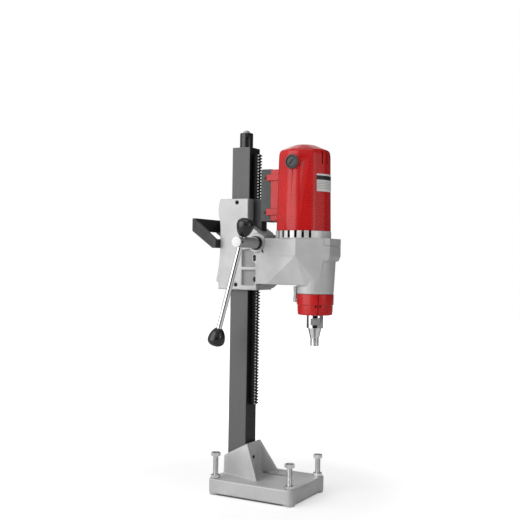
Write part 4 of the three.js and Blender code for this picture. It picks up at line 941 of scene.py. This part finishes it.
def brush_cap(node, side):
    """A slotted cap in the middle of a dark ring."""
    centre = middle(node)
    cap = turned(node + "_finished", [
        (0, 60), (15, 60), (15, 70.4), (13.4, 70.4), (13.4, 72.2), (12.8, 72.9), (11.4, 73.1), (0, 73.3),
    ], at(centre.x, 0, centre.z, (0, side, 0)))
    groove = brick("groove", (-10, -1.6, 71.0), (10, 1.6, 75.0), Matrix.Rotation(math.radians(45), 4, "Z"))
    groove.data.transform(at(centre.x, 0, centre.z, (0, side, 0)))
    dress(soften(combine(cap, groove, "DIFFERENCE"), 0.3, 2), node)
    ring = turned(node + "_ring", [
        (13.6, 70.5), (17.4, 70.5), (18, 71.1), (18, 72.6), (17.2, 73.7), (15.4, 74), (14.0, 73.4), (13.6, 72.4), (13.6, 70.5),
    ], at(centre.x, 0, centre.z, (0, side, 0)))
    trim(ring, BODY_OF[node], FINISHES["black_moulding"])


def rating_plate():
    """A blank rating plate bent to the casing's right-hand flat."""
    bottom, top, half, clear = 781.0, 825.0, 40.0, 0.25
    steps = 16
    bm = bmesh.new()
    rings = []
    for z in (bottom, top):
        radius = 72.0 - 3.4 * (z - 688) / 180 + clear
        near = sorted((p for p in motor_section(radius, 8, 9) if p.x > 0), key=lambda p: p.y)
        flat = [Vector((interpolate(near, y), y)) for y in [half * (2 * k / steps - 1) for k in range(steps + 1)]]
        rings.append([bm.verts.new(Vector((motor_axis.x + p.x, p.y, z)) * MM) for p in flat])
    for k in range(steps):
        bm.faces.new((rings[0][k], rings[0][k + 1], rings[1][k + 1], rings[1][k]))
    plate = new_object("rating_plate", bm)
    thick = plate.modifiers.new("thick", "SOLIDIFY")
    thick.thickness = 0.5 * MM
    thick.offset = 1
    applied(plate)
    trim(soften(plate, 0.15, 2), BODY_OF["motor_housing"], plate_print(bottom, top))


def interpolate(points, y):
    """x at y on a line of points sorted by y."""
    for first, second in zip(points, points[1:]):
        if first.y <= y <= second.y:
            return first.x + (second.x - first.x) * (y - first.y) / (second.y - first.y)
    return points[0].x if y < points[0].y else points[-1].x


def spindle():
    """The chrome spindle: a body with spanner flats, a cone and a threaded nose."""
    node = "spindle"
    foot, top = low(node).z, high(node).z
    place = at(spindle_axis.x, spindle_axis.y)
    thread = threaded_rod("spindle_finished", 10.9, foot + 0.8, foot + 18.5, 2.5, 0.55, ROUND_SIDES)
    thread.data.transform(place)
    body = turned("body", [
        (0, foot + 17), (9.6, foot + 17), (9.6, foot + 18.6), (11.2, foot + 20), (11.7, foot + 21.6), (16.8, foot + 45),
        (20.2, foot + 45.4), (20.8, foot + 46.2), (20.8, foot + 77), (20, foot + 78.5), (20, 541), (15, 541), (15, 600),
        (12, 600), (12, top), (0, top),
    ], place)
    combine(thread, body, "UNION")
    combine(thread, turned("water_way", [(0, foot - 1), (5.8, foot - 1), (5, foot + 0.8), (5, 500), (0, 500)], place),
            "DIFFERENCE")
    for side in (-1, 1):
        flat = brick("flat", (16.8, -30, foot + 53), (30, 30, foot + 71))
        turn = Matrix.Rotation(math.radians(119 if side > 0 else 299), 4, "Z")
        flat.data.transform(place @ turn)
        combine(thread, flat, "DIFFERENCE")
    dress(soften(thread, 0.25, 2, math.radians(50)), node)
    thread.data.materials[0] = FINISHES["spindle_chrome"]
    thread.data.materials.append(FINISHES["zinc_plate"])
    across = Vector((math.cos(math.radians(299)), math.sin(math.radians(299)), 0))
    for face in thread.data.polygons:
        on_flat = abs((face.center / MM - spindle_axis).dot(across)) < 17.2
        if foot + 52 < face.center.z / MM < foot + 72 and on_flat and abs(face.normal.dot(across)) > 0.99:
            face.material_index = 1


def water_collar():
    """The red split collar: a ledge at half height, a split line and two clamp screws."""
    node = "water_collar"
    foot, top = low(node).z, high(node).z
    ledge = (foot + top) / 2
    place = at(spindle_axis.x, spindle_axis.y)
    collar = turned("water_collar_finished", [
        (21.6, foot), (40.5, foot), (43.2, foot + 1.0), (44.2, foot + 3.2), (44.9, ledge - 3), (44.6, ledge - 1.8),
        (44.9, ledge - 0.9), (46.4, ledge), (46.7, ledge + 1), (47, top - 1), (46.4, top), (21.6, top), (21.6, foot),
    ], place)
    split = brick("split", (34, -1.1, foot - 1), (60, 1.1, top + 1), Matrix.Rotation(math.radians(-55), 4, "Z"))
    split.data.transform(place)
    combine(collar, split, "DIFFERENCE")
    inlet = middle("water_inlet")
    way = turned("inlet_way", [(0, -40), (6.3, -40), (6.3, 26), (0, 26)], at(inlet.x + 5, 0, 507, (1, 0, 0)), SMALL_SIDES)
    combine(collar, way, "DIFFERENCE")
    for offset in (-7.5, 7.5):
        angle = math.radians(-55 + offset)
        pocket = turned("pocket", [(0, 41.5), (2.6, 41.5), (2.6, 50), (0, 50)],
                        place @ at(0, 0, ledge - 3.5, (math.cos(angle), math.sin(angle), 0)), SMALL_SIDES)
        combine(collar, pocket, "DIFFERENCE")
        screw = turned(f"collar_screw_{'left' if offset < 0 else 'right'}",
                       [(0, 40.5), (2.4, 40.5), (2.4, 43.2), (1.9, 43.6), (1.0, 43.6), (1.0, 42.6), (0, 42.6)],
                       place @ at(0, 0, ledge - 3.5, (math.cos(angle), math.sin(angle), 0)), SMALL_SIDES)
        trim(screw, BODY_OF[node], FINISHES["black_fastener"])
    dress(soften(collar, 0.5, 2, math.radians(45)), node)


def water_inlet():
    """An upright body beside the collar, with a barbed hose tail."""
    node = "water_inlet"
    r, stub_z, tail_z, tail_start = 6.0, 507.0, 531.0, 12.0
    x = low(node).x + r
    foot, top, tail_end = low(node).z, high(node).z, high(node).y
    body = turned("water_inlet_finished", [
        (0, foot), (r - 1, foot), (r, foot + 1), (r, foot + 12), (r - 0.7, foot + 13), (r - 0.7, top - 9), (r, top - 8),
        (r, top - 1), (r - 1, top), (3.2, top), (2.6, top - 1.5), (0, top - 1.5),
    ], at(x, 0), SMALL_SIDES)
    stub = turned("stub", [(0, 0), (5, 0), (5, high(node).x - x), (0, high(node).x - x)],
                  at(x, 0, stub_z, (1, 0, 0)), SMALL_SIDES)
    barbs = [(r, tail_start + 6 * k + dz) for k in range(3) for r, dz in ((5.4, 0.4), (4.4, 5.2))]
    tail = turned("tail", [(0, 0), (4.3, 0), (4.3, tail_start), *barbs, (4.2, tail_end - 1), (3.6, tail_end),
                           (2.4, tail_end), (2.4, tail_start), (0, tail_start)],
                  at(x, 0, tail_z, (0, 1, 0)), SMALL_SIDES)
    for other in (stub, tail):
        combine(body, other, "UNION")
    dress(soften(body, 0.25, 1, math.radians(50)), node)


def switch_details():
    """The two screws in the side of the switch box."""
    lowest, highest = low("switch_box"), high("switch_box")
    x = (lowest.x + highest.x) / 2 - 2
    for name, z in (("upper", 819.0), ("lower", 730.5)):
        for side, face in ((-1, lowest.y), (1, highest.y)):
            head = turned(f"switch_screw_{name}_{'left' if side < 0 else 'right'}",
                          [(0, 0), (3.6, 0), (3.6, 0.9), (2.9, 1.6), (0, 1.9)],
                          at(x, face - 0.1 * side, z, (0, side, 0)), SMALL_SIDES)
            cross = brick("cross", (-2.2, -0.4, 1.0), (2.2, 0.4, 3))
            other = brick("other", (-0.4, -2.2, 1.0), (0.4, 2.2, 3))
            for cutter in (cross, other):
                cutter.data.transform(at(x, face - 0.1 * side, z, (0, side, 0)))
                combine(head, cutter, "DIFFERENCE")
            trim(head, BODY_OF["switch_box"], FINISHES["black_fastener"])


# ---------- assembly ----------
def build():
    casting("base_plate", 1.5, 7, 0.5)
    carriage = casting("carriage_housing", 1.3, 7, 0.45)
    # The carriage's cast paint, with painted shade on its side-pocket floors.
    carriage.data.materials[0] = cast_paint("cast_grey_carriage_pocket_shade", (34.0, 16.0, 634.0))
    casting("gearbox_housing", 1.3, 6, 0.45)
    casting("gearbox_cover", 1.0, 4, 0.4)
    refined("column_tube", 0.8)
    refined("feed_rack", 0.35, 1)
    levelling_screws()
    clamp_screw()
    jack()
    refined("carry_handle", 1.2, 3)
    refined("rack_guard", 0.4)
    for node in ("guide_screw_upper", "guide_screw_lower"):
        guide_screw(node)
    for side, name in ((-1, "left"), (1, "right")):
        feed_bush("feed_bush_" + name, side)
        brush_cap("brush_cap_" + name, side)
        arm_bolt(f"arm_bolt_{name}_upper")
        arm_bolt(f"arm_bolt_{name}_lower")
    lock_lever()
    crank_hub()
    bar_and_knobs()
    motor_casing()
    vent_ring()
    rating_plate()
    refined("switch_box", 1.0, 3)
    refined("switch_rocker", 0.8, 3)
    switch_details()
    spindle()
    water_collar()
    water_inlet()
    for node, made in frame["nodes"].items():
        made.data.materials.clear()
        made.data.materials.append(FINISHES[SLOT_OF[node]])


# ---------- stage ----------
FLOOR_GLOW = 0.45
KEY_DIRECTION = (-0.50, -0.86, 0.32)
CAMERA_PLACE = (1.1708, -2.0057, 0.5974)


def stage_floor():
    """A pale floor that shows its shadows near the drill and glows white further off."""
    bm = bmesh.new()
    bmesh.ops.create_grid(bm, x_segments=1, y_segments=1, size=8)
    floor = new_object("floor", bm)
    s = Surface("floor")
    seen = s.node("ShaderNodeLightPath").outputs["Is Camera Ray"]
    glow = s.spread(s.around(), FLOOR_GLOW, 1.0, 350, 1100)
    lowest, highest = low("base_plate"), high("base_plate")
    for index, letter in enumerate("XY"):
        span = (highest[index] - lowest[index]) / 2
        off_centre = s.math("ABSOLUTE", s.math("SUBTRACT", s.axis(letter), (highest[index] + lowest[index]) / 2), 0.0)
        beside = s.math("GREATER_THAN", off_centre, span - 8)
        outside = beside if index == 0 else s.math("MAXIMUM", outside, beside)
    glow = s.math("MULTIPLY", glow, outside)
    s.feed(s.shader.inputs["Emission Color"], (1, 1, 1, 1))
    s.feed(s.shader.inputs["Emission Strength"], s.math("MULTIPLY", seen, glow))
    floor.data.materials.append(s.finish((0.80, 0.80, 0.80), 0.8))


def soft_box(name, direction, distance, size, radiance):
    """A square light that faces the drill. Its power comes from how bright its face should be."""
    data = bpy.data.lights.new(name, "AREA")
    data.shape = "SQUARE"
    data.size = size
    data.energy = radiance * math.pi * size ** 2
    lamp = bpy.data.objects.new(name, data)
    bpy.context.scene.collection.objects.link(lamp)
    towards = Vector(direction).normalized()
    lamp.location = Vector((0.08, 0, 0.55)) + towards * distance
    lamp.rotation_euler = towards.to_track_quat("Z", "Y").to_euler()
    return lamp


def light_stage():
    """A large key from the left front, a weak fill and top, and surroundings that are brightest near the key."""
    soft_box("key", KEY_DIRECTION, 3.0, 3.0, 1.9)
    soft_box("fill", (1.0, -0.12, 0.25), 3.0, 1.6, 1.0)
    soft_box("strip", (1.0, -0.15, 0.05), 2.6, 0.5, 2.0)
    soft_box("top", (0.1, -0.1, 1.0), 2.6, 1.8, 0.8)
    soft_box("back", (-0.6, 0.8, 0.5), 3.0, 2.0, 0.8)
    world = bpy.data.worlds.new("backdrop")
    bpy.context.scene.world = world
    world.use_nodes = True
    nodes, links = world.node_tree.nodes, world.node_tree.links
    facing = nodes.new("ShaderNodeVectorMath")
    facing.operation = "DOT_PRODUCT"
    links.new(nodes.new("ShaderNodeTexCoord").outputs["Generated"], facing.inputs[0])
    facing.inputs[1].default_value = Vector(KEY_DIRECTION).normalized()
    glow = nodes.new("ShaderNodeMapRange")
    links.new(facing.outputs["Value"], glow.inputs["Value"])
    for name, number in zip(("From Min", "From Max", "To Min", "To Max"), (-0.5, 0.9, 0.10, 0.60)):
        glow.inputs[name].default_value = number
    behind = nodes.new("ShaderNodeVectorMath")
    behind.operation = "DOT_PRODUCT"
    links.new(facing.inputs[0].links[0].from_socket, behind.inputs[0])
    behind.inputs[1].default_value = Vector((CAMERA_PLACE[0], CAMERA_PLACE[1], 0)).normalized()
    dimmed = nodes.new("ShaderNodeMapRange")
    links.new(behind.outputs["Value"], dimmed.inputs["Value"])
    for name, number in zip(("From Min", "From Max", "To Min", "To Max"), (0.945, 0.985, 1.0, 0.03)):
        dimmed.inputs[name].default_value = number
    dark = nodes.new("ShaderNodeMath")
    dark.operation = "MULTIPLY"
    links.new(glow.outputs["Result"], dark.inputs[0])
    links.new(dimmed.outputs["Result"], dark.inputs[1])
    strength = nodes.new("ShaderNodeMix")
    links.new(nodes.new("ShaderNodeLightPath").outputs["Is Camera Ray"], strength.inputs["Factor"])
    links.new(dark.outputs["Value"], strength.inputs["A"])
    strength.inputs["B"].default_value = 1.0
    background = nodes["Background"]
    background.inputs["Color"].default_value = (1, 1, 1, 1)
    links.new(strength.outputs["Result"], background.inputs["Strength"])
    bpy.context.scene.view_settings.view_transform = "Standard"


def place_camera():
    """A level long-lens view from the front right, at the height of the carriage."""
    azimuth, pitch, roll = (math.radians(a) for a in (29.27, -0.25, 0.90))
    forward = Vector((-math.sin(azimuth) * math.cos(pitch), math.cos(azimuth) * math.cos(pitch), -math.sin(pitch)))
    right = Vector((math.cos(azimuth), math.sin(azimuth), 0))
    up = right.cross(forward)
    leaning_right = right * math.cos(roll) + up * math.sin(roll)
    leaning_up = up * math.cos(roll) - right * math.sin(roll)
    data = bpy.data.cameras.new("camera")
    data.sensor_width = 36
    data.lens = 60.49
    camera = bpy.data.objects.new("camera", data)
    bpy.context.scene.collection.objects.link(camera)
    turn = Matrix((leaning_right, leaning_up, -forward)).transposed().to_4x4()
    camera.matrix_world = Matrix.Translation(CAMERA_PLACE) @ turn
    bpy.context.scene.camera = camera


build()
stage_floor()
light_stage()
place_camera()
